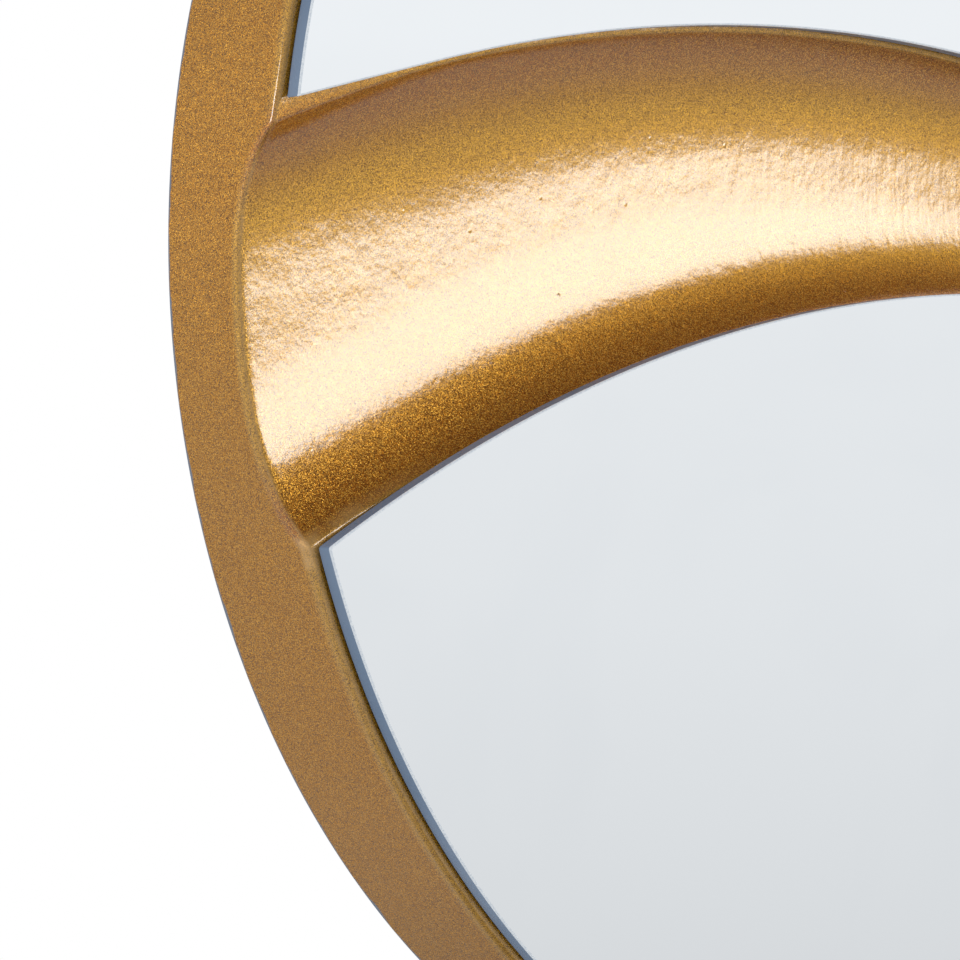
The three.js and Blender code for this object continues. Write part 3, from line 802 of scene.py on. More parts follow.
@dataclass(frozen=True)
class ScoopRule:
    """How the scoop sinks below the drum's front, from its two edge arcs.

    The brow is the upper lip by the left rim: it comes further in there and turns over more softly. The
    lower lip is rounded by the left rim only, at the corner, and nearly sharp along the lower plate.
    """

    rim: float
    upper: EdgeArc = EdgeArc(-64.7 * MM, -655.5 * MM, 732.9 * MM)
    lower: EdgeArc = EdgeArc(37.2 * MM, -662.6 * MM, 654.1 * MM)
    lip: float = 1.5 * MM
    depth: float = 15.6 * MM
    depth_fade: float = 0.6
    fullness: float = 2.9
    roundness: float = 0.80
    lip_round: float = 1.2 * MM
    sharp_lip: float = 0.12 * MM
    sharp_offset: float = 2.6 * MM
    corner_round: float = 2.6 * MM
    brow: float = 2.2 * MM
    brow_reach: float = 80 * MM
    brow_fullness: float = 1.0
    brow_round: float = 3.4 * MM
    # Painted shade on the steep flanks: where it starts and is full across the scoop, and how deep the scoop must be
    # for it.
    flank_shade_start: float = 0.48
    flank_shade_full: float = 0.92
    flank_shade_sink: float = 1.5 * MM
    # Where the painted highlight on the lower lip by the left rim rises, crests, falls and ends, across the scoop.
    low_lip_highlight: tuple[float, float, float, float] = (0.93, 0.99, 1.08, 1.12)

    @property
    def pole(self) -> tuple[float, float]:
        """The point that the scoop turns about, half way between the arcs' centres."""
        return (self.upper.x + self.lower.x) / 2, (self.upper.z + self.lower.z) / 2

    def reach(self, angle: np.ndarray, arc: EdgeArc, offset: float) -> np.ndarray:
        """Measures from the pole to an arc, along rays.

        Args:
            angle: The rays' angles from +Z towards +X.
            arc: The arc.
            offset: How far outside the arc to measure to.

        Returns:
            The distances.
        """
        x, z = arc.x - self.pole[0], arc.z - self.pole[1]
        along = x * np.sin(angle) + z * np.cos(angle)
        return along + np.sqrt((arc.radius + offset) ** 2 - x * x - z * z + along**2)

    def band(self, angle: np.ndarray) -> tuple[np.ndarray, np.ndarray]:
        """Gives the scoop's middle and half width along rays from the pole.

        Args:
            angle: The rays' angles from +Z towards +X.

        Returns:
            The middle's distance from the pole and half the width.
        """
        top = self.reach(angle, self.upper, -self.lip)
        bottom = self.reach(angle, self.lower, self.lip)
        return (top + bottom) / 2, (top - bottom) / 2

    def places(self, across: float, angle: np.ndarray) -> np.ndarray:
        """Gives points of the front view at one share across the scoop.

        Args:
            across: The share across the scoop, -1 at its lower edge and 1 at its upper one.
            angle: The angles about the pole, from +Z towards +X.

        Returns:
            X and Z of each point.
        """
        middle, half = self.band(angle)
        rho = middle + across * half
        return np.stack([self.pole[0] + rho * np.sin(angle), self.pole[1] + rho * np.cos(angle)], axis=-1)

    def widest(self) -> float:
        """Measures the scoop's width where it leaves the rim on the left."""
        angle = np.array(math.atan2(-self.rim - self.pole[0], -self.pole[1]))
        return float(2 * self.band(angle)[1])

    def edge_reach(self, tree: GrowthTree, label: str, arc: EdgeArc, lip: Socket, ray: Sequence[Socket]) -> Socket:
        """Writes the distance from the pole to one edge of the scoop, along each point's ray.

        Args:
            tree: The tree that gets the rule.
            label: The edge's name.
            arc: The edge.
            lip: How far the edge lies outside its arc.
            ray: The pole's X and Z, and the sine and cosine of the ray's angle from +Z towards +X.

        Returns:
            The distance.
        """
        m = tree.maths
        pole_x, pole_z, sine, cosine = ray
        x = m("SUBTRACT", tree.size(f"{label} centre X", arc.x), pole_x)
        z = m("SUBTRACT", tree.size(f"{label} centre Z", arc.z), pole_z)
        radius = m("ADD", tree.size(f"{label} radius", arc.radius), lip)
        along = m("ADD", m("MULTIPLY", x, sine), m("MULTIPLY", z, cosine))
        offset = m("ADD", m("MULTIPLY", x, x), m("MULTIPLY", z, z))
        square = m("ADD", m("SUBTRACT", m("MULTIPLY", radius, radius), offset), m("MULTIPLY", along, along))
        return m("ADD", along, m("SQRT", square))

    def section(self, tree: GrowthTree, across: Socket, half: Socket, brow: Socket) -> Socket:
        """Writes the scoop's section before its lips are rounded.

        Args:
            tree: The tree that gets the rule.
            across: Each point's distance from the scoop's middle, 1 at its edge.
            half: Half the scoop's width there.
            brow: Whether the point is on the brow, 0 to 1.

        Returns:
            How far each point lies below the front, and less than zero outside the scoop.
        """
        m = tree.maths
        narrowing = m("DIVIDE", m("MULTIPLY", half, 2.0), tree.size("Widest", self.widest()))
        fade = m("POWER", narrowing, tree.size("Depth fade", self.depth_fade))
        depth = m("MULTIPLY", tree.size("Depth", self.depth), fade)
        fullness = m("ADD", tree.size("Fullness", self.fullness),
                     m("MULTIPLY", brow, tree.size("Brow fullness", self.brow_fullness)))
        left_over = m("MAXIMUM", m("SUBTRACT", 1.0, m("POWER", across, fullness)), 0.0)
        inner = m("POWER", left_over, tree.size("Roundness", self.roundness))
        outer = m("MINIMUM", m("SUBTRACT", 1.0, across), 0.0)
        return m("MULTIPLY", depth, m("ADD", inner, outer))

    def rounded(self, tree: GrowthTree, plain: Socket, turn: Socket) -> Socket:
        """Writes a soft turn at the lips, where the section crosses zero.

        Args:
            tree: The tree that gets the rule.
            plain: The section, less than zero outside the scoop.
            turn: How deep the section lies where the turn ends.

        Returns:
            How far each point lies below the front.
        """
        m = tree.maths
        lifted = m("MAXIMUM", m("ADD", plain, turn), 0.0)
        eased = m("DIVIDE", m("MULTIPLY", lifted, lifted), m("MULTIPLY", turn, 4.0))
        past = m("GREATER_THAN", plain, turn)
        return m("ADD", m("MULTIPLY", past, plain), m("MULTIPLY", m("SUBTRACT", 1.0, past), eased))

    def sunk(self, tree: GrowthTree) -> tuple[Socket, Socket, Socket]:
        """Writes the rule into a Geometry Nodes tree.

        Args:
            tree: The tree that gets the rule.

        Returns:
            How far each point lies below the front, the painted shade on the scoop's steep flanks, 0 to 1, and
            the painted highlight on the lower lip by the left rim, 0 to 1.
        """
        m = tree.maths
        place = tree.position()
        pole_x, pole_z = (tree.size(f"Pole {axis}", value) for axis, value in zip("XZ", self.pole))
        dx, dz = m("SUBTRACT", place[0], pole_x), m("SUBTRACT", place[2], pole_z)
        rho = tree.span(dx, dz)
        ray = (pole_x, pole_z, m("DIVIDE", dx, rho), m("DIVIDE", dz, rho))
        lip = tree.size("Lip", self.lip)
        from_rim = m("ADD", place[0], tree.size("Rim radius", self.rim))
        near_rim = tree.ramp(from_rim, 0.0, tree.size("Brow reach", self.brow_reach), 1.0, 0.0)
        tight = m("MULTIPLY", m("SUBTRACT", 1.0, near_rim), tree.size("Sharp offset", self.sharp_offset))
        top = self.edge_reach(tree, "Upper", self.upper, m("MULTIPLY", lip, -1.0), ray)
        bottom = self.edge_reach(tree, "Lower", self.lower, m("SUBTRACT", lip, tight), ray)
        half = m("MULTIPLY", m("SUBTRACT", top, bottom), 0.5)
        off = m("SUBTRACT", rho, m("MULTIPLY", m("ADD", top, bottom), 0.5))
        above = m("GREATER_THAN", off, 0.0)
        brow = m("MULTIPLY", near_rim, above)
        side = m("SUBTRACT", half, m("MULTIPLY", brow, tree.size("Brow", self.brow)))
        across = m("ABSOLUTE", m("DIVIDE", off, side))
        sharp_turn = tree.size("Sharp lip", self.sharp_lip)
        corner_turn = m("SUBTRACT", tree.size("Corner round", self.corner_round), sharp_turn)
        lower_turn = m("ADD", sharp_turn, m("MULTIPLY", near_rim, corner_turn))
        brow_turn = m("MULTIPLY", brow, tree.size("Brow round", self.brow_round))
        upper_turn = m("ADD", tree.size("Lip round", self.lip_round), brow_turn)
        turn = tree.choose(above, lower_turn, upper_turn)
        bowl = self.rounded(tree, self.section(tree, across, half, brow), turn)
        # painted shade on the scoop's steep flanks
        steep = tree.ramp(across, self.flank_shade_start, self.flank_shade_full)
        painted_flank_shade = m("MULTIPLY", steep, tree.ramp(bowl, 0.0, self.flank_shade_sink))
        # painted highlight on the lower lip by the left rim
        rise, crest, fall, foot = self.low_lip_highlight
        on_lip = m("MULTIPLY", tree.ramp(across, rise, crest), tree.ramp(across, fall, foot, 1.0, 0.0))
        on_lip_highlight = m("MULTIPLY", m("MULTIPLY", on_lip, near_rim), m("SUBTRACT", 1.0, above))
        return bowl, painted_flank_shade, on_lip_highlight


# ---- Drum ---------------------------------------------------------------------------------------------------
@dataclass
class MouldedDrum:
    """The drum: its outer skin grown from the front's rule, and its hollow inside taken from the frame.

    The skin starts as a flat layout in the front view. Each of its points carries how far it lies below the
    rule ("drop"), how far a level of its own takes over from the rule ("share" and "level"), and how far
    the paint is made pale, partly as rubbing and partly as a painted highlight on the rim's arris.
    """

    rule: ScoopRule
    front: float
    back: float
    upper_arris: float = 2.0 * MM
    lower_arris: float = 2.4 * MM
    back_chamfer: float = 1.0 * MM
    overlap: float = 1.06
    half_rows: int = 76
    columns: int = 350
    flat_rows: int = 5
    arris_steps: int = 6
    # How pale each step of the rim's arris is painted: partly rubbing, partly painted highlight.
    rub_and_highlight: tuple[float, ...] = (0.0, 0.35, 0.6, 0.1, 0.0, 0.0, 0.0)
    wall_steps: int = 16
    peel_depth: float = 0.05 * MM
    peel_size: float = 5.0 * MM
    # The share of painted flank shade on the outer wall.
    wall_shade_share: float = 0.6
    points: list[tuple[float, float, float]] = field(default_factory=list)
    drops: list[float] = field(default_factory=list)
    shares: list[float] = field(default_factory=list)
    levels: list[float] = field(default_factory=list)
    worn_and_highlight: list[float] = field(default_factory=list)
    faces: list[tuple[int, ...]] = field(default_factory=list)

    def arris_at(self, across: float) -> float:
        """Gives the size of the rounded rim at a share across the scoop: larger towards the upper flat."""
        share = min(1.0, max(0.0, (across + 1) / 2))
        return self.lower_arris + (self.upper_arris - self.lower_arris) * share

    def rim_angle(self, across: float, way: int) -> float:
        """Finds where a line along the scoop meets the start of the rounded rim.

        Args:
            across: The line's share across the scoop.
            way: -1 for the left rim, 1 for the right one.

        Returns:
            The angle about the pole.
        """
        low, high = 0.0, way * 0.6
        target = self.rule.rim - self.arris_at(across)
        for _ in range(50):
            middle = (low + high) / 2
            x, z = self.rule.places(across, np.array(middle))
            low, high = (middle, high) if math.hypot(x, z) < target else (low, middle)
        return low

    def put(self, place: Sequence[float], drop: float = 0.0, share: float = 0.0, level: float = 0.0,
            worn_and_highlight: float = 0.0) -> int:
        """Adds a point to the front view layout and returns its number.

        Args:
            place: X and Z.
            drop: How far it lies below the front's rule.
            share: 0 where the rule holds, 1 where its level holds.
            level: The Y that it has at share 1.
            worn_and_highlight: How far the edge is painted pale there, as rubbing and as a painted highlight, 0 to 1.

        Returns:
            The point's number.
        """
        self.points.append((float(place[0]), 0.0, float(place[1])))
        self.drops.append(drop)
        self.shares.append(share)
        self.levels.append(level)
        self.worn_and_highlight.append(worn_and_highlight)
        return len(self.points) - 1

    def quads(self, rows: Sequence[Sequence[int]], closed: bool = False) -> None:
        """Joins rows of points with faces. A face that has shrunk to a triangle is kept as one, and to a line
        left out.

        Args:
            rows: Rows of point numbers, all as long as the first.
            closed: True where the last point of a row joins the first.
        """
        for near, far in zip(rows, rows[1:]):
            count = len(near)
            for i in range(count if closed else count - 1):
                k = (i + 1) % count
                face = tuple(dict.fromkeys((near[i], far[i], far[k], near[k])))
                if len(face) > 2:
                    self.faces.append(face)

    def rows_across(self) -> list[float]:
        """Gives the share across the scoop of each row of its layout, closest together at the lips."""
        steps = range(-self.half_rows, self.half_rows + 1)
        return [self.overlap * math.sin(math.pi / 2 * step / self.half_rows) for step in steps]

    def lay_out_strip(self) -> list[list[int]]:
        """Lays out the scoop as rows along it that start and end at the rim.

        Returns:
            The rows, from the lower lip to the upper one.
        """
        shares = np.linspace(0, 1, self.columns + 1)
        rows = []
        for across in self.rows_across():
            left, right = self.rim_angle(across, -1), self.rim_angle(across, 1)
            places = self.rule.places(across, left + (right - left) * shares)
            rows.append([self.put(place) for place in places])
        self.quads(rows)
        return rows

    def lay_out_flat(self, border: Sequence[int], below: bool) -> list[int]:
        """Lays out one flat between the scoop and the rim.

        Args:
            border: The scoop's outermost row on that side.
            below: True for the flat below the scoop.

        Returns:
            The points along the rim, from left to right.
        """
        ends = [self.points[border[0]], self.points[border[-1]]]
        first, last = (math.atan2(point[0], point[2]) for point in ends)
        if below:
            last -= 2 * math.pi
        angles = first + (last - first) * np.linspace(0, 1, len(border))
        inner = self.rule.rim - self.arris_at(-1.0 if below else 1.0)
        rim = inner * np.stack([np.sin(angles), np.cos(angles)], axis=-1)
        start = np.array([(self.points[i][0], self.points[i][2]) for i in border])
        rows = [list(border)]
        for step in range(1, self.flat_rows + 1):
            places = start + (rim - start) * step / self.flat_rows
            row = [self.put(place) for place in places[1:-1]]
            rows.append([border[0], *row, border[-1]])
        self.quads(rows)
        return rows[-1]

    def lay_out_rim(self, loop: Sequence[int], arrises: Sequence[float]) -> None:
        """Turns the front over the rounded rim and takes it down the wall to the back.

        Args:
            loop: The points round the front's border.
            arrises: The size of the rounded rim at each of them.
        """
        radius = self.rule.rim
        radial = [np.array((self.points[i][0], self.points[i][2])) for i in loop]
        radial = [place / np.linalg.norm(place) for place in radial]
        rows = [list(loop)]
        for step in range(1, self.arris_steps + 1):
            turn = step / self.arris_steps
            rows.append([self.put(out * (radius - size * (1 - turn) ** 2), size * turn**2, worn_and_highlight=self.rub_and_highlight[step])
                         for out, size in zip(radial, arrises)])
        foot = self.back - self.back_chamfer
        for step in range(1, self.wall_steps + 1):
            share = step / self.wall_steps
            rows.append([self.put(out * radius, size, share, foot) for out, size in zip(radial, arrises)])
        rows.append([self.put(out * (radius - self.back_chamfer), 0.0, 1.0, self.back) for out in radial])
        self.quads(rows, closed=True)

    def lay_out(self) -> bpy.types.Object:
        """Lays out the whole outer skin in the front view.

        Returns:
            The layout, with what each point carries.
        """
        strip = self.lay_out_strip()
        upper = self.lay_out_flat(strip[-1], below=False)
        lower = self.lay_out_flat(strip[0], below=True)
        scoop_sizes = [self.arris_at(across) for across in self.rows_across()]
        loop = [row[0] for row in reversed(strip)] + lower[1:-1] + [row[-1] for row in strip] + upper[-2:0:-1]
        flats = [[size] * (len(lower) - 2) for size in (scoop_sizes[0], scoop_sizes[-1])]
        self.lay_out_rim(loop, scoop_sizes[::-1] + flats[0] + scoop_sizes + flats[1])
        piece = new_piece("moulded_drum", self.points, self.faces)
        for name, values in (("drop", self.drops), ("share", self.shares), ("level", self.levels),
                             ("worn_and_highlight", self.worn_and_highlight)):
            piece.data.attributes.new(name, "FLOAT", "POINT").data.foreach_set("value", values)
        return piece

    def growth(self, paint: bpy.types.Material) -> GrowthTree:
        """Builds the tree that sinks the scoop into the layout and gives the skin its orange peel.

        Args:
            paint: What the skin is made of.

        Returns:
            The tree.
        """
        tree = GrowthTree("Scooped drum front")
        fall, painted_flank_shade, low_lip_highlight = self.rule.sunk(tree)
        m = tree.maths
        face = m("ADD", tree.size("Front plane", self.front), m("ADD", fall, tree.attribute("drop")))
        share, level = tree.attribute("share"), tree.attribute("level")
        depth = m("ADD", m("MULTIPLY", face, m("SUBTRACT", 1.0, share)), m("MULTIPLY", level, share))
        place = tree.position()
        sunk = tree.add("ShaderNodeCombineXYZ", {0: place[0], 1: depth, 2: place[2]}).outputs[0]
        shaped = tree.add("GeometryNodeSetPosition", {"Geometry": tree.seed, "Position": sunk}).outputs[0]
        noise = tree.noise(tree.size("Peel size", self.peel_size), 1.0)
        inward = m("MULTIPLY", m("SUBTRACT", noise, 1.0), tree.size("Peel depth", self.peel_depth))
        kept = m("SUBTRACT", 1.0, m("GREATER_THAN", share, 0.99))
        offset = tree.vector("SCALE", tree.add("GeometryNodeInputNormal").outputs[0])
        tree.feed(offset.node.inputs["Scale"], m("MULTIPLY", inward, kept))
        skinned = tree.add("GeometryNodeSetPosition", {"Geometry": shaped, "Offset": offset}).outputs[0]
        wall = m("GREATER_THAN", share, 0.01)
        front = m("SUBTRACT", 1.0, wall)
        marked = skinned
        # painted shade on the flanks and the wall; pale rubbing and painted highlight on the arris and the lower lip
        marks = {"painted_flank_shade": m("ADD", m("MULTIPLY", painted_flank_shade, front), m("MULTIPLY", wall, self.wall_shade_share)), "wall": wall,
                 "worn_and_highlight": m("MAXIMUM", tree.attribute("worn_and_highlight"), m("MULTIPLY", low_lip_highlight, front))}
        for name, value in marks.items():
            marked = tree.add("GeometryNodeStoreNamedAttribute", {"Geometry": marked, "Name": name, "Value": value},
                              data_type="FLOAT", domain="POINT").outputs[0]
        tree.close(marked, paint)
        return tree

    def hollow(self, shell: bpy.types.Object) -> bmesh.types.BMesh:
        """Takes the inside from the frame's shell: the recess, ledge, bosses, ribs and inner skin.

        Args:
            shell: The frame's node, which is left as it is.

        Returns:
            The inside, open along the inner edge of the back rim.
        """
        work = bmesh.new()
        work.from_mesh(shell.data)
        bmesh.ops.remove_doubles(work, verts=work.verts, dist=1e-6)
        near = 1e-5
        rim = [face for face in work.faces if all(abs(v.co.y - self.back) < near for v in face.verts)]
        bmesh.ops.delete(work, geom=rim, context="FACES_ONLY")
        outer = {face for face in work.faces
                 if any(math.hypot(v.co.x, v.co.z) > self.rule.rim - 0.2 * MM for v in face.verts)}
        front = list(outer)
        while front:
            face = front.pop()
            for edge in face.edges:
                for other in edge.link_faces:
                    if other not in outer:
                        outer.add(other)
                        front.append(other)
        bmesh.ops.delete(work, geom=list(outer), context="FACES")
        loose = [vert for vert in work.verts if not vert.link_faces]
        bmesh.ops.delete(work, geom=loose, context="VERTS")
        return work

    def build(self, paint: bpy.types.Material, bare: bpy.types.Material) -> bpy.types.Object:
        """Builds the drum as one closed mesh.

        Args:
            paint: The outside's paint.
            bare: The material of the back and the inside.

        Returns:
            The finished piece, riding on the frame in place of the frame's shell.
        """
        piece = self.growth(paint).grow(self.lay_out())
        inside = self.hollow(bpy.data.objects["frame_shell"])
        work = bmesh.new()
        work.from_mesh(piece.data)
        skin_faces = len(work.faces)
        scratch = bpy.data.meshes.new("hollow")
        inside.to_mesh(scratch)
        work.from_mesh(scratch)
        border = [edge for edge in work.edges if edge.is_boundary]
        bmesh.ops.triangle_fill(work, edges=border, normal=(0, 1, 0), use_beauty=True)
        work.faces.ensure_lookup_table()
        for face in work.faces[skin_faces:]:
            face.material_index = 1
        bmesh.ops.recalc_face_normals(work, faces=work.faces)
        work.to_mesh(piece.data)
        open_edges = sum(not edge.is_manifold for edge in work.edges)
        work.free()
        inside.free()
        bpy.data.meshes.remove(scratch)
        for name in ("drop", "share", "level"):
            piece.data.attributes.remove(piece.data.attributes[name])
        piece.data.materials.append(bare)
        set_shading(piece.data, 32)
        LOG.info("drum: %d faces, %d open edges", len(piece.data.polygons), open_edges)
        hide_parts("frame_shell")
        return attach(piece, "frame")


# ---- Glass --------------------------------------------------------------------------------------------------
@dataclass
class MirrorPlate:
    """One flat plate of mirror glass: silvered face, ground side and a frosted arris between them.

    The upper plate's left corner is cut a little short, by "lift" at the corner and none from "lift_reach" on.
    """

    which: Plate
    arc: EdgeArc
    radius: float
    front: float
    back: float
    seam: float = 0.60 * MM
    back_seam: float = 0.15 * MM
    corner_run: float = 1.0 * MM
    corner_ease: float = 1.0 * MM
    lift: float = 2.4 * MM
    lift_reach: float = 60 * MM
    arc_steps: int = 180
    rim_steps: int = 260
    turn_steps: int = 8
    seam_steps: int = 3

    def outline(self, inset: float = 0.0) -> np.ndarray:
        """Draws the plate's outline: along the scoop, round an eased corner, round the rim and back.

        Args:
            inset: How far the outline lies inside the plate's edge.

        Returns:
            X and Z of its points.
        """
        upper = self.which is Plate.UPPER
        arc = replace(self.arc, radius=self.arc.radius + (inset if upper else -inset))
        radius = self.radius - inset
        left, right = arc.crossings(radius)
        ease = self.corner_ease / arc.radius
        lift = self.lift if upper else 0.0
        along = []
        for angle in np.linspace(left + ease, right - ease, self.arc_steps):
            fade = max(0.0, 1.0 - (angle - left) * arc.radius / self.lift_reach)
            x, z = arc.point(angle)
            along.append((x, z + lift * fade**2))
        start, end = (math.atan2(*arc.point(angle)) for angle in (right, left))
        run = (-1 if upper else 1) * self.corner_run / radius
        if not upper:
            end += 2 * math.pi
        rim = [(radius * math.sin(angle), radius * math.cos(angle))
               for angle in np.linspace(start + run, end - run + lift / radius, self.rim_steps)]
        corner = arc.point(left)
        right_turn = self.turned(along[-1], arc.point(right), rim[0])
        left_turn = self.turned(rim[-1], (corner[0], corner[1] + lift), along[0])
        return np.array([*along, *right_turn, *rim, *left_turn])

    def turned(self, first: Sequence[float], bend: Sequence[float], last: Sequence[float]) -> list[tuple[float, float]]:
        """Draws a curve between two points about a bend.

        Args:
            first: Where the curve starts.
            bend: The point that it bends towards.
            last: Where it ends.

        Returns:
            The points between its ends.
        """
        places = []
        for step in range(1, self.turn_steps):
            t = step / self.turn_steps
            weights = ((1 - t) ** 2, 2 * t * (1 - t), t * t)
            places.append(tuple(sum(w * point[axis] for w, point in zip(weights, (first, bend, last)))
                                for axis in (0, 1)))
        return places

    def build(self, materials: Sequence[bpy.types.Material]) -> bpy.types.Object:
        """Builds the plate.

        Args:
            materials: The silvered face, the ground side and the frosted arris.

        Returns:
            The finished piece, riding on the frame in place of the frame's plate.
        """
        turns = [math.pi / 2 * step / self.seam_steps for step in range(self.seam_steps + 1)]
        front = [(self.seam * (1 - math.cos(turn)), self.front + self.seam * (1 - math.sin(turn))) for turn in turns]
        levels = [(self.back_seam, self.back), (0.0, self.back - self.back_seam), *front]
        points = [(x, y, z) for inset, y in levels for x, z in self.outline(inset)]
        count = len(points) // len(levels)
        faces = [tuple(range(count)), tuple(range((len(levels) - 1) * count, len(levels) * count))]
        finishes = [1, 0]
        for level in range(len(levels) - 1):
            finishes += [1 if level == 1 else 2] * count
        faces += ring_faces(len(levels), count)
        piece = new_piece(f"{self.which.value}_mirror_plate", points, faces)
        piece.data.polygons.foreach_set("material_index", finishes)
        for material in materials:
            piece.data.materials.append(material)
        work = bmesh.new()
        work.from_mesh(piece.data)
        bmesh.ops.recalc_face_normals(work, faces=work.faces)
        for edge in work.edges:
            kinds = {face.material_index for face in edge.link_faces}
            edge.smooth = len(kinds) == 1
        for face in work.faces:
            face.smooth = True
        work.to_mesh(piece.data)
        work.free()
        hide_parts(f"{self.which.value}_mirror_glass")
        LOG.info("%s plate: outline of %d points", self.which.value, count)
        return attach(piece, "frame")


# ---- Fasteners and pads -------------------------------------------------------------------------------------
@dataclass
class ScrewKind:
    """A round headed screw with a cross recess, its seat at the origin and its head towards +Y."""

    length: float
    head_radius: float = 3.8 * MM
    head_height: float = 2.0 * MM
    shank_radius: float = 1.9 * MM
    sides: int = 28
    recess_width: float = 0.9 * MM
    recess_span: float = 3.9 * MM
    recess_depth: float = 1.1 * MM
    dome_steps: tuple[float, ...] = (0.25, 0.5, 0.7, 0.85, 0.95)
    dome_fullness: float = 3.2
    edge_break: float = 0.12 * MM
    point_radius: float = 0.35 * MM
    point_length: float = 0.3 * MM

    def profile(self) -> list[tuple[float, float]]:
        """Gives the turned shape, from the head's top to the point.

        Returns:
            Radius and Y of each corner.
        """
        dome = [(self.head_radius * share, self.head_height * (1 - share**self.dome_fullness))
                for share in self.dome_steps]
        foot = [(self.head_radius, self.edge_break), (self.head_radius - self.edge_break, 0.0),
                (self.shank_radius, 0.0)]
        tip = [(self.shank_radius, 2 * self.shank_radius - self.length),
               (self.point_radius, self.point_length - self.length)]
        return [*dome, *foot, *tip]

    def mesh(self, name: str) -> bpy.types.Object:
        """Turns the screw and cuts its cross recess.

        Args:
            name: The piece's name.

        Returns:
            The screw, a plain mesh.
        """
        profile = self.profile()
        points, faces = [(0.0, self.head_height, 0.0), (0.0, -self.length, 0.0)], []
        for radius, y in profile:
            for side in range(self.sides):
                angle = 2 * math.pi * side / self.sides
                points.append((radius * math.sin(angle), y, radius * math.cos(angle)))
        faces += ring_faces(len(profile), self.sides, first=2)
        last = 2 + (len(profile) - 1) * self.sides
        for side in range(self.sides):
            k = (side + 1) % self.sides
            faces.append((0, 2 + k, 2 + side))
            faces.append((1, last + side, last + k))
        screw = new_piece(name, points, faces)
        self.cut_recess(screw)
        return screw

    def cut_recess(self, screw: bpy.types.Object) -> None:
        """Cuts two crossed, tapering slots into the head.

        Args:
            screw: The screw, which is left as a plain mesh.
        """
        cutter = bmesh.new()
        for turn in (0.0, math.pi / 2):
            made = bmesh.ops.create_cube(cutter, size=1.0)["verts"]
            for vert in made:
                deep = vert.co.y < 0
                vert.co.x *= self.recess_span * (0.55 if deep else 1.0)
                vert.co.z *= self.recess_width * (0.75 if deep else 1.0)
                vert.co.y = self.head_height - self.recess_depth if deep else self.head_height + 1 * MM
            bmesh.ops.rotate(cutter, verts=made, cent=(0, 0, 0), matrix=Matrix.Rotation(turn, 3, "Y"))
        mesh = bpy.data.meshes.new("recess")
        cutter.to_mesh(mesh)
        cutter.free()
        tool = bpy.data.objects.new("recess", mesh)
        bpy.context.scene.collection.objects.link(tool)
        cut = screw.modifiers.new("recess", "BOOLEAN")
        cut.operation, cut.solver, cut.object, cut.use_self = "DIFFERENCE", "EXACT", tool, True
        bpy.context.view_layer.update()
        made = bpy.data.meshes.new_from_object(screw.evaluated_get(bpy.context.evaluated_depsgraph_get()))
        screw.modifiers.remove(cut)
        screw.data = made
        bpy.data.objects.remove(tool)


class Spread:
    """Geometry Nodes trees that repeat one piece on a ring or a grid in the front view."""

    @staticmethod
    def turned_upright(tree: GrowthTree, points: Socket, y: Value, z: Value, turn: Value) -> Socket:
        """Stands a flat set of points up in the front view, turns it about Y and moves it.

        Args:
            tree: The tree that they belong to.
            points: The points, laid out flat.
            y: Where they go along Y.
            z: Where they go along Z.
            turn: How far they are turned about Y, in radians.

        Returns:
            The points, standing up.
        """
        upright = tree.add("GeometryNodeTransform", {"Geometry": points, "Rotation": (math.pi / 2, 0.0, 0.0)})
        spin = tree.add("ShaderNodeCombineXYZ", {1: turn}).outputs[0]
        place = tree.add("ShaderNodeCombineXYZ", {1: y, 2: z}).outputs[0]
        inputs = {"Geometry": upright.outputs[0], "Rotation": spin, "Translation": place}
        return tree.add("GeometryNodeTransform", inputs).outputs[0]

    @classmethod
    def ring(cls, name: str, count: int, radius: float, turn: float, y: float,
             material: bpy.types.Material) -> GrowthTree:
        """Repeats the starting piece round the drum's axis.

        Args:
            name: The tree's name.
            count: How many there are.
            radius: The ring's radius.
            turn: How far the first one is turned from the axes, in radians.
            y: Where the piece's own origin goes.
            material: What they are made of.

        Returns:
            The tree.
        """
        tree = GrowthTree(name)
        sizes = {"Vertices": tree.size("Count", count), "Radius": tree.size("Ring radius", radius)}
        ring = tree.add("GeometryNodeMeshCircle", sizes).outputs[0]
        level, first = tree.size("Level", y), tree.size("First turn", turn)
        tree.repeat(cls.turned_upright(tree, ring, level, 0.0, first), material)
        return tree

    @classmethod
    def pairs(cls, name: str, half_span: float, top: float, pitch: float, y: float,
              material: bpy.types.Material) -> GrowthTree:
        """Repeats the starting piece at the four corners of an upright rectangle.

        Args:
            name: The tree's name.
            half_span: Half the distance from left to right.
            top: The upper pair's Z.
            pitch: The drop to the lower pair.
            y: Where the piece's own origin goes.
            material: What they are made of.

        Returns:
            The tree.
        """
        tree = GrowthTree(name)
        span = tree.maths("MULTIPLY", tree.size("Half span", half_span), 2.0)
        drop = tree.size("Pitch", pitch)
        sizes = {"Size X": span, "Size Y": drop, "Vertices X": 2, "Vertices Y": 2}
        grid = tree.add("GeometryNodeMeshGrid", sizes).outputs[0]
        middle = tree.maths("SUBTRACT", tree.size("Top", top), tree.maths("MULTIPLY", drop, 0.5))
        tree.repeat(cls.turned_upright(tree, grid, tree.size("Level", y), middle, 0.0), material)
        return tree


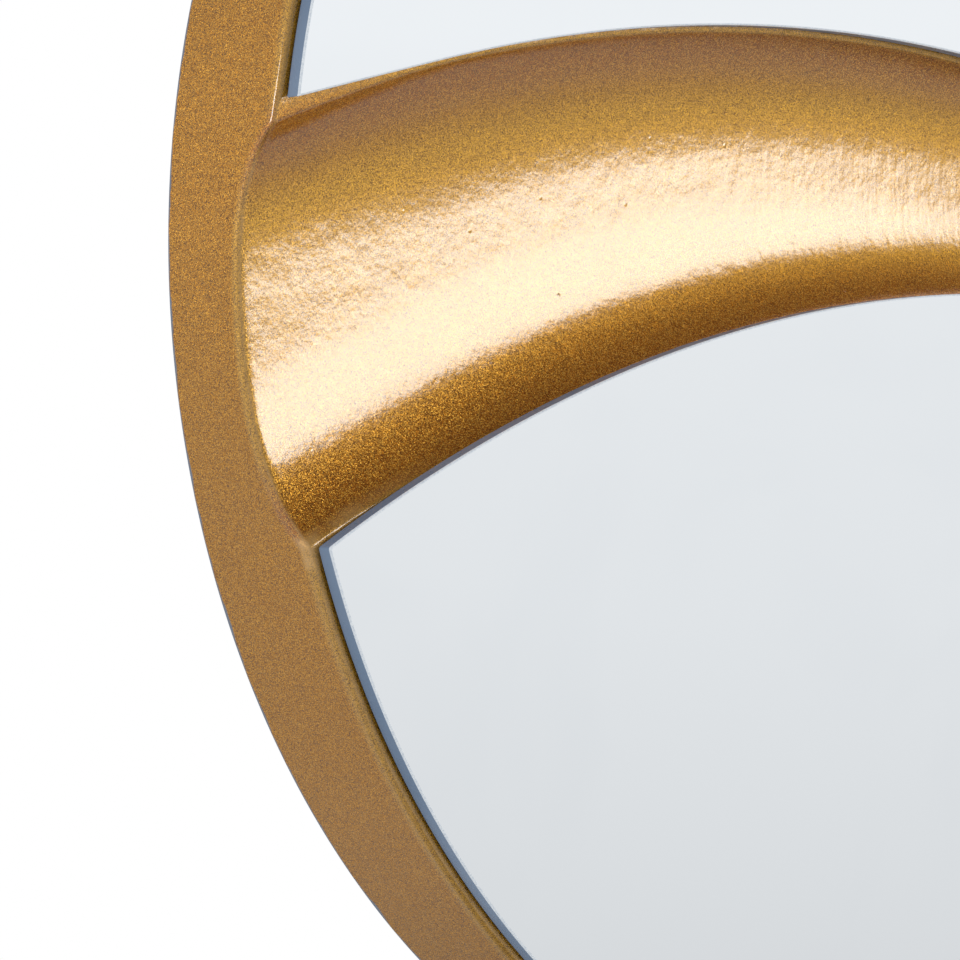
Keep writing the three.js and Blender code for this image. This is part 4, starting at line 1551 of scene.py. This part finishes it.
@dataclass
class BackFittings:
    """Everything on the drum's back: board, screws, hangers, rings and wall pads."""

    board_back: float
    hanger_x: float
    hanger_z: float
    ring_axis: float
    board_screws: int = 12
    screw_ring: float = 285.7 * MM
    flat_gap: float = 0.1 * MM
    loose_gap: float = 0.3 * MM
    strap_sheet: float = 1.2 * MM
    first_drop: float = 10 * MM
    screw_pitch: float = 16 * MM
    board_screw_length: float = 14 * MM
    hanger_screw_length: float = 18 * MM
    wire_radius: float = 1.5 * MM
    wire_sides: int = 14
    bend_steps: int = 8
    bow_steps: int = 20
    half_width: float = 9.5 * MM
    side: float = 7 * MM
    butt_gap: float = 0.4 * MM
    pad_ring: float = 298.5 * MM
    pad_radius: float = 4.8 * MM
    pad_thickness: float = 1.9 * MM
    pad_sides: int = 40
    pad_levels: tuple[tuple[float, float], ...] = ((0.9, 0.0), (1.0, 0.22), (1.0, 0.8), (0.96, 1.0))

    def screws(self, zinc: bpy.types.Material) -> None:
        """Builds the board's ring of screws and the hangers' four.

        Args:
            zinc: What they are made of.
        """
        board = ScrewKind(self.board_screw_length).mesh("board_screws")
        names = [f"board_screw_{number:02d}" for number in range(1, self.board_screws + 1)]
        Spread.ring("Board screw ring", self.board_screws, self.screw_ring, math.pi / self.board_screws,
                    self.board_back + self.flat_gap, zinc).grow(board)
        hanger = ScrewKind(self.hanger_screw_length).mesh("hanger_screws")
        level = self.board_back + 2 * self.flat_gap + 2 * self.strap_sheet
        Spread.pairs("Hanger screw pairs", self.hanger_x, self.hanger_z - self.first_drop, self.screw_pitch,
                     level, zinc).grow(hanger)
        hanger_names = [f"{hand.value}_hanger_screw_{row}" for hand in Hand for row in ("upper", "lower")]
        for piece, nodes in ((board, names), (hanger, hanger_names)):
            set_shading(piece.data, 35)
            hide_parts(*nodes)
            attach(piece, "frame")
            LOG.info("%s: %d faces", piece.name, len(piece.data.polygons))

    def ring_path(self) -> list[Vector]:
        """Draws the wire's centre line with its straight bar along X at the origin and its bow upwards.

        Returns:
            Its points, from one butted end to the other.
        """
        bend, half = 2 * self.wire_radius, self.half_width
        corner = [Vector((half - bend * (1 - math.sin(turn)), 0, bend * (1 - math.cos(turn))))
                  for turn in np.linspace(0, math.pi / 2, self.bend_steps)]
        bow = [Vector((half * math.cos(turn), 0, self.side + half * math.sin(turn)))
               for turn in np.linspace(0, math.pi / 2, self.bow_steps)]
        right = [Vector((self.butt_gap / 2, 0, 0)), *corner, *bow]
        left = [Vector((-point.x, point.y, point.z)) for point in reversed(right[:-1])]
        return right + left

    def d_ring(self, hand: Hand, zinc: bpy.types.Material) -> bpy.types.Object:
        """Bends one hanging ring, leaning on the board as it does when it hangs.

        Args:
            hand: Which hanger it belongs to.
            zinc: What it is made of.

        Returns:
            The ring, riding on its own body.
        """
        reach = self.side + self.half_width
        lean = math.asin((self.ring_axis - self.board_back - self.wire_radius - self.loose_gap) / reach)
        x = self.hanger_x * (-1 if hand is Hand.LEFT else 1)
        stand = Matrix.Translation((x, self.ring_axis, self.hanger_z)) @ Matrix.Rotation(lean, 4, "X")
        path = [stand @ point for point in self.ring_path()]
        edges = [(i, i + 1) for i in range(len(path) - 1)]
        ring = new_piece(f"{hand.value}_hanging_ring", path, edges=edges)
        tree = GrowthTree(f"Bent wire {hand.value}")
        line = tree.add("GeometryNodeMeshToCurve", {"Mesh": tree.seed}).outputs[0]
        section = tree.add("GeometryNodeCurvePrimitiveCircle", {
            "Resolution": tree.size("Wire sides", self.wire_sides),
            "Radius": tree.size("Wire radius", self.wire_radius)})
        swept = tree.add("GeometryNodeCurveToMesh", {
            "Curve": line, "Profile Curve": section.outputs[0], "Fill Caps": True})
        tree.close(swept.outputs[0], zinc)
        tree.grow(ring)
        set_shading(ring.data, 50)
        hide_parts(f"{hand.value}_d_ring")
        LOG.info("%s ring: %d faces", hand.value, len(ring.data.polygons))
        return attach(ring, f"{hand.value}_ring")

    def pads(self, felt: bpy.types.Material) -> bpy.types.Object:
        """Builds the four felt pads, each a slightly ragged disc.

        Args:
            felt: What they are made of.

        Returns:
            The pads, riding on the frame.
        """
        sides, levels = self.pad_sides, self.pad_levels
        points, faces = [], []
        for share, down in levels:
            for side in range(sides):
                angle = 2 * math.pi * side / sides
                ragged = share * (1 - 0.02 * (1 + math.sin(side * 2.3 + down * 5)))
                radius = self.pad_radius * ragged
                points.append((radius * math.cos(angle), -self.pad_thickness * down, radius * math.sin(angle)))
        faces += ring_faces(len(levels), sides)
        faces.append(tuple(reversed(range(sides))))
        faces.append(tuple(range((len(levels) - 1) * sides, len(levels) * sides)))
        pads = new_piece("wall_pads", points, faces)
        Spread.ring("Wall pads", 4, self.pad_ring, math.pi / 4, 0.0, felt).grow(pads)
        set_shading(pads.data, 40)
        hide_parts(*(f"wall_pad_{row}_{hand.value}" for row in ("upper", "lower") for hand in Hand))
        LOG.info("pads: %d faces", len(pads.data.polygons))
        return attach(pads, "frame")


# ---- Stage --------------------------------------------------------------------------------------------------
@dataclass
class PhotoCamera:
    """The camera that saw the photograph, fitted to the drum's outline and edges."""

    aim: tuple[float, float, float] = (-0.2190, -0.0520, -0.0741)
    azimuth: float = -43.1
    distance: float = 1.3725
    focal_pixels: float = 4370.0
    frame_pixels: float = 960.0
    sensor: float = 36.0

    def build(self) -> None:
        """Places the camera and makes it the scene's own."""
        data = bpy.data.cameras.new("photo_camera")
        data.sensor_width = self.sensor
        data.lens = self.focal_pixels * self.sensor / self.frame_pixels
        data.clip_start, data.clip_end = 0.01, 100.0
        camera = bpy.data.objects.new("photo_camera", data)
        stand_off(camera, Vector(self.aim), self.azimuth, 0.0, self.distance)
        bpy.context.scene.camera = camera


@dataclass(frozen=True)
class Softbox:
    """One oval studio lamp that points at the drum's centre, with a share of its radius that fades out."""

    name: str
    azimuth: float
    elevation: float
    distance: float
    width: float
    height: float
    power: float
    fade: float = 0.05

    def build(self) -> bpy.types.Object:
        """Hangs the lamp and turns it to the drum.

        Returns:
            The lamp.
        """
        data = bpy.data.lights.new(self.name, "AREA")
        data.shape, data.size, data.size_y, data.energy = "ELLIPSE", self.width, self.height, self.power
        data.use_nodes = True
        graph = Graph(data.node_tree)
        spot = graph.parts(graph.add("ShaderNodeNewGeometry").outputs["Parametric"])[:2]
        out = graph.span(*(graph.maths("MULTIPLY_ADD", part, 2.0, -1.0) for part in spot))
        emission = next(node for node in data.node_tree.nodes if node.type == "EMISSION")
        graph.feed(emission.inputs["Strength"], graph.ramp(out, 1.0 - self.fade, 1.0, 1.0, 0.0))
        lamp = bpy.data.objects.new(self.name, data)
        stand_off(lamp, Vector(), self.azimuth, self.elevation, self.distance)
        return lamp

    def keep_to(self, lamp: bpy.types.Object, pieces: Sequence[bpy.types.Object]) -> None:
        """Lets the lamp light only some pieces, so that it doesn't show in the plates.

        Args:
            lamp: The lamp.
            pieces: What it lights.
        """
        group = bpy.data.collections.new(f"lit_by_{self.name}")
        for piece in pieces:
            group.objects.link(piece)
        lamp.light_linking.receiver_collection = group


@dataclass
class Studio:
    """A plain pale floor, soft lamps and an even room, white to the camera.

    The steps give the light of the room at heights from -1, straight down, to 1, straight up: in front, to
    the left, and as the perfectly sharp plates mirror it.
    """

    floor_level: float = -0.62
    floor_radius: float = 2.4
    floor_colour: Colour = rgb(226, 226, 224)
    room_light: float = 0.85
    front_steps: tuple[tuple[float, float], ...] = (
        (-1.0, 0.10), (-0.70, 0.12), (-0.57, 0.42), (-0.42, 0.46), (-0.30, 0.34), (0.0, 0.30), (0.12, 0.24),
        (0.30, 0.10), (0.50, 0.09), (0.64, 0.05), (1.0, 0.03))
    left_steps: tuple[tuple[float, float], ...] = (
        (-1.0, 0.25), (-0.70, 0.50), (-0.35, 0.58), (0.0, 0.52), (0.30, 0.47), (0.60, 0.42), (1.0, 0.20))
    mirrored_steps: tuple[tuple[float, float], ...] = (
        (-1.0, 0.30), (-0.42, 0.50), (-0.20, 0.70), (-0.11, 0.76), (-0.085, 0.79), (-0.026, 0.848), (0.05, 0.885),
        (0.103, 0.955), (0.30, 0.90), (1.0, 0.60))
    left_way: tuple[float, float, float] = (-0.94, 0.34, 0.0)
    left_turn: tuple[float, float] = (-0.15, 0.35)
    lamps: tuple[Softbox, ...] = (Softbox("key_softbox", 34, 12.5, 2.2, 1.62, 1.06, 22.5, fade=0.34),
                                  Softbox("edge_softbox", -108, 12, 2.2, 0.62, 0.62, 6))

    def floor(self) -> bpy.types.Object:
        """Lays the floor.

        Returns:
            The floor, which belongs to the stage.
        """
        turns = np.linspace(0, 2 * math.pi, 96, endpoint=False)
        rim = [(self.floor_radius * math.cos(turn), self.floor_radius * math.sin(turn), self.floor_level)
               for turn in turns]
        floor = new_piece("studio_floor", rim, [tuple(range(len(rim)))])
        material = bpy.data.materials.new("pale_floor")
        material.use_nodes = True
        graph = Graph(material.node_tree)
        shader = material.node_tree.nodes["Principled BSDF"]
        shader.inputs["Roughness"].default_value = 0.9
        noise = graph.add("ShaderNodeTexNoise", {"Scale": 3.0, "Detail": 2.0}).outputs["Fac"]
        shade = tuple(0.96 * part for part in self.floor_colour[:3]) + (1.0,)
        graph.feed(shader.inputs["Base Color"], graph.mix(noise, self.floor_colour, shade))
        floor.data.materials.append(material)
        floor.visible_glossy = False
        return floor

    def banded(self, graph: Graph, height: Socket, steps: Sequence[tuple[float, float]]) -> Socket:
        """Grades the room's light by height, and returns its colour.

        Args:
            graph: The world's graph.
            height: The direction's height, -1 to 1.
            steps: Heights and the light at each.

        Returns:
            The colour.
        """
        band = graph.add("ShaderNodeValToRGB", {0: graph.maths("MULTIPLY_ADD", height, 0.5, 0.5)})
        stops = band.color_ramp.elements
        stops.remove(stops[-1])
        for index, (level, light) in enumerate(steps):
            stop = stops[0] if index == 0 else stops.new(0.5 + level / 2)
            stop.position = 0.5 + level / 2
            stop.color = (light, light, light, 1.0)
        return band.outputs[0]

    def world(self) -> None:
        """Lights the room: white to the camera, even to what scatters light, and graded to what mirrors it.

        The plates, which alone are perfectly sharp, mirror a plain pale room, and the paint a darker studio.
        """
        world = bpy.data.worlds.new("studio")
        bpy.context.scene.world = world
        world.use_nodes = True
        tree = world.node_tree
        tree.nodes.clear()
        graph = Graph(tree)
        way = graph.add("ShaderNodeTexCoord").outputs["Generated"]
        height = graph.parts(way)[2]
        front, left, mirrored = (self.banded(graph, height, steps)
                                 for steps in (self.front_steps, self.left_steps, self.mirrored_steps))
        aside = graph.vector("DOT_PRODUCT", way, self.left_way).node.outputs["Value"]
        path = graph.add("ShaderNodeLightPath").outputs
        studio = graph.mix(graph.ramp(aside, *self.left_turn), front, left)
        seen_room = graph.mix(path["Is Singular Ray"], studio, mirrored)
        seen = graph.maths("MAXIMUM", path["Is Glossy Ray"], path["Is Transmission Ray"])
        even = (self.room_light, self.room_light, self.room_light, 1.0)
        colour = graph.mix(seen, even, seen_room)
        colour = graph.mix(path["Is Camera Ray"], colour, (1.0, 1.0, 1.0, 1.0))
        background = graph.add("ShaderNodeBackground", {"Color": colour, "Strength": 1.0})
        graph.add("ShaderNodeOutputWorld", {"Surface": background.outputs[0]})

    def build(self, glass: Sequence[bpy.types.Object]) -> None:
        """Sets up the stage and the view.

        Args:
            glass: The plates, which show the room but no lamp.
        """
        bpy.context.scene.view_settings.view_transform = "Standard"
        self.world()
        self.floor()
        others = [piece for piece in bpy.context.scene.objects if piece.type == "MESH" and piece not in glass]
        for softbox in self.lamps:
            softbox.keep_to(softbox.build(), others)


def main() -> None:
    """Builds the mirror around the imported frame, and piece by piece."""
    logging.basicConfig(level=logging.INFO, format="%(name)s: %(message)s")
    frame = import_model()
    PhotoCamera().build()
    shell_low, shell_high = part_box("frame_shell")
    plates = {which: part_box(f"{which.value}_mirror_glass") for which in Plate}
    rule = ScoopRule(shell_high.x)
    paint = FlakedGoldPaint().material(shell_high.y, rule.pole)
    MouldedDrum(rule, shell_low.y, shell_high.y).build(paint, PrimedComposite().material())
    glass = [MirrorSilver().material(), GroundGlassEdge().material(), SeamedArris().material()]
    panes = []
    for which, (low, high) in plates.items():
        arc = rule.upper if which is Plate.UPPER else rule.lower
        plate = MirrorPlate(which, arc, rule.rim - GLASS_INSET, low.y, high.y)
        panes.append(plate.build(glass))
    zinc = ZincPlatedSteel().material()
    axis = next(joint for joint in frame["joints"] if joint["child"] == "right_ring")["pos_m"]
    back = BackFittings(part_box("backing_board")[1].y, axis[0], axis[2], axis[1])
    back.screws(zinc)
    for hand in Hand:
        back.d_ring(hand, zinc)
    back.pads(GreyFelt().material())
    carried = {
        "backing_board": PressedHardboard().material(),
        "left_hanger_strap": zinc,
        "right_hanger_strap": zinc,
    }
    foam = FoamTape().material()
    for name, node in frame["nodes"].items():
        material = foam if "_tape_" in name else carried.get(name)
        if material:
            node.data.materials.clear()
            node.data.materials.append(material)
            LOG.info("%s keeps its solid in %s", name, material.name)
    Studio().build(panes)


if __name__ == "__main__":
    main()
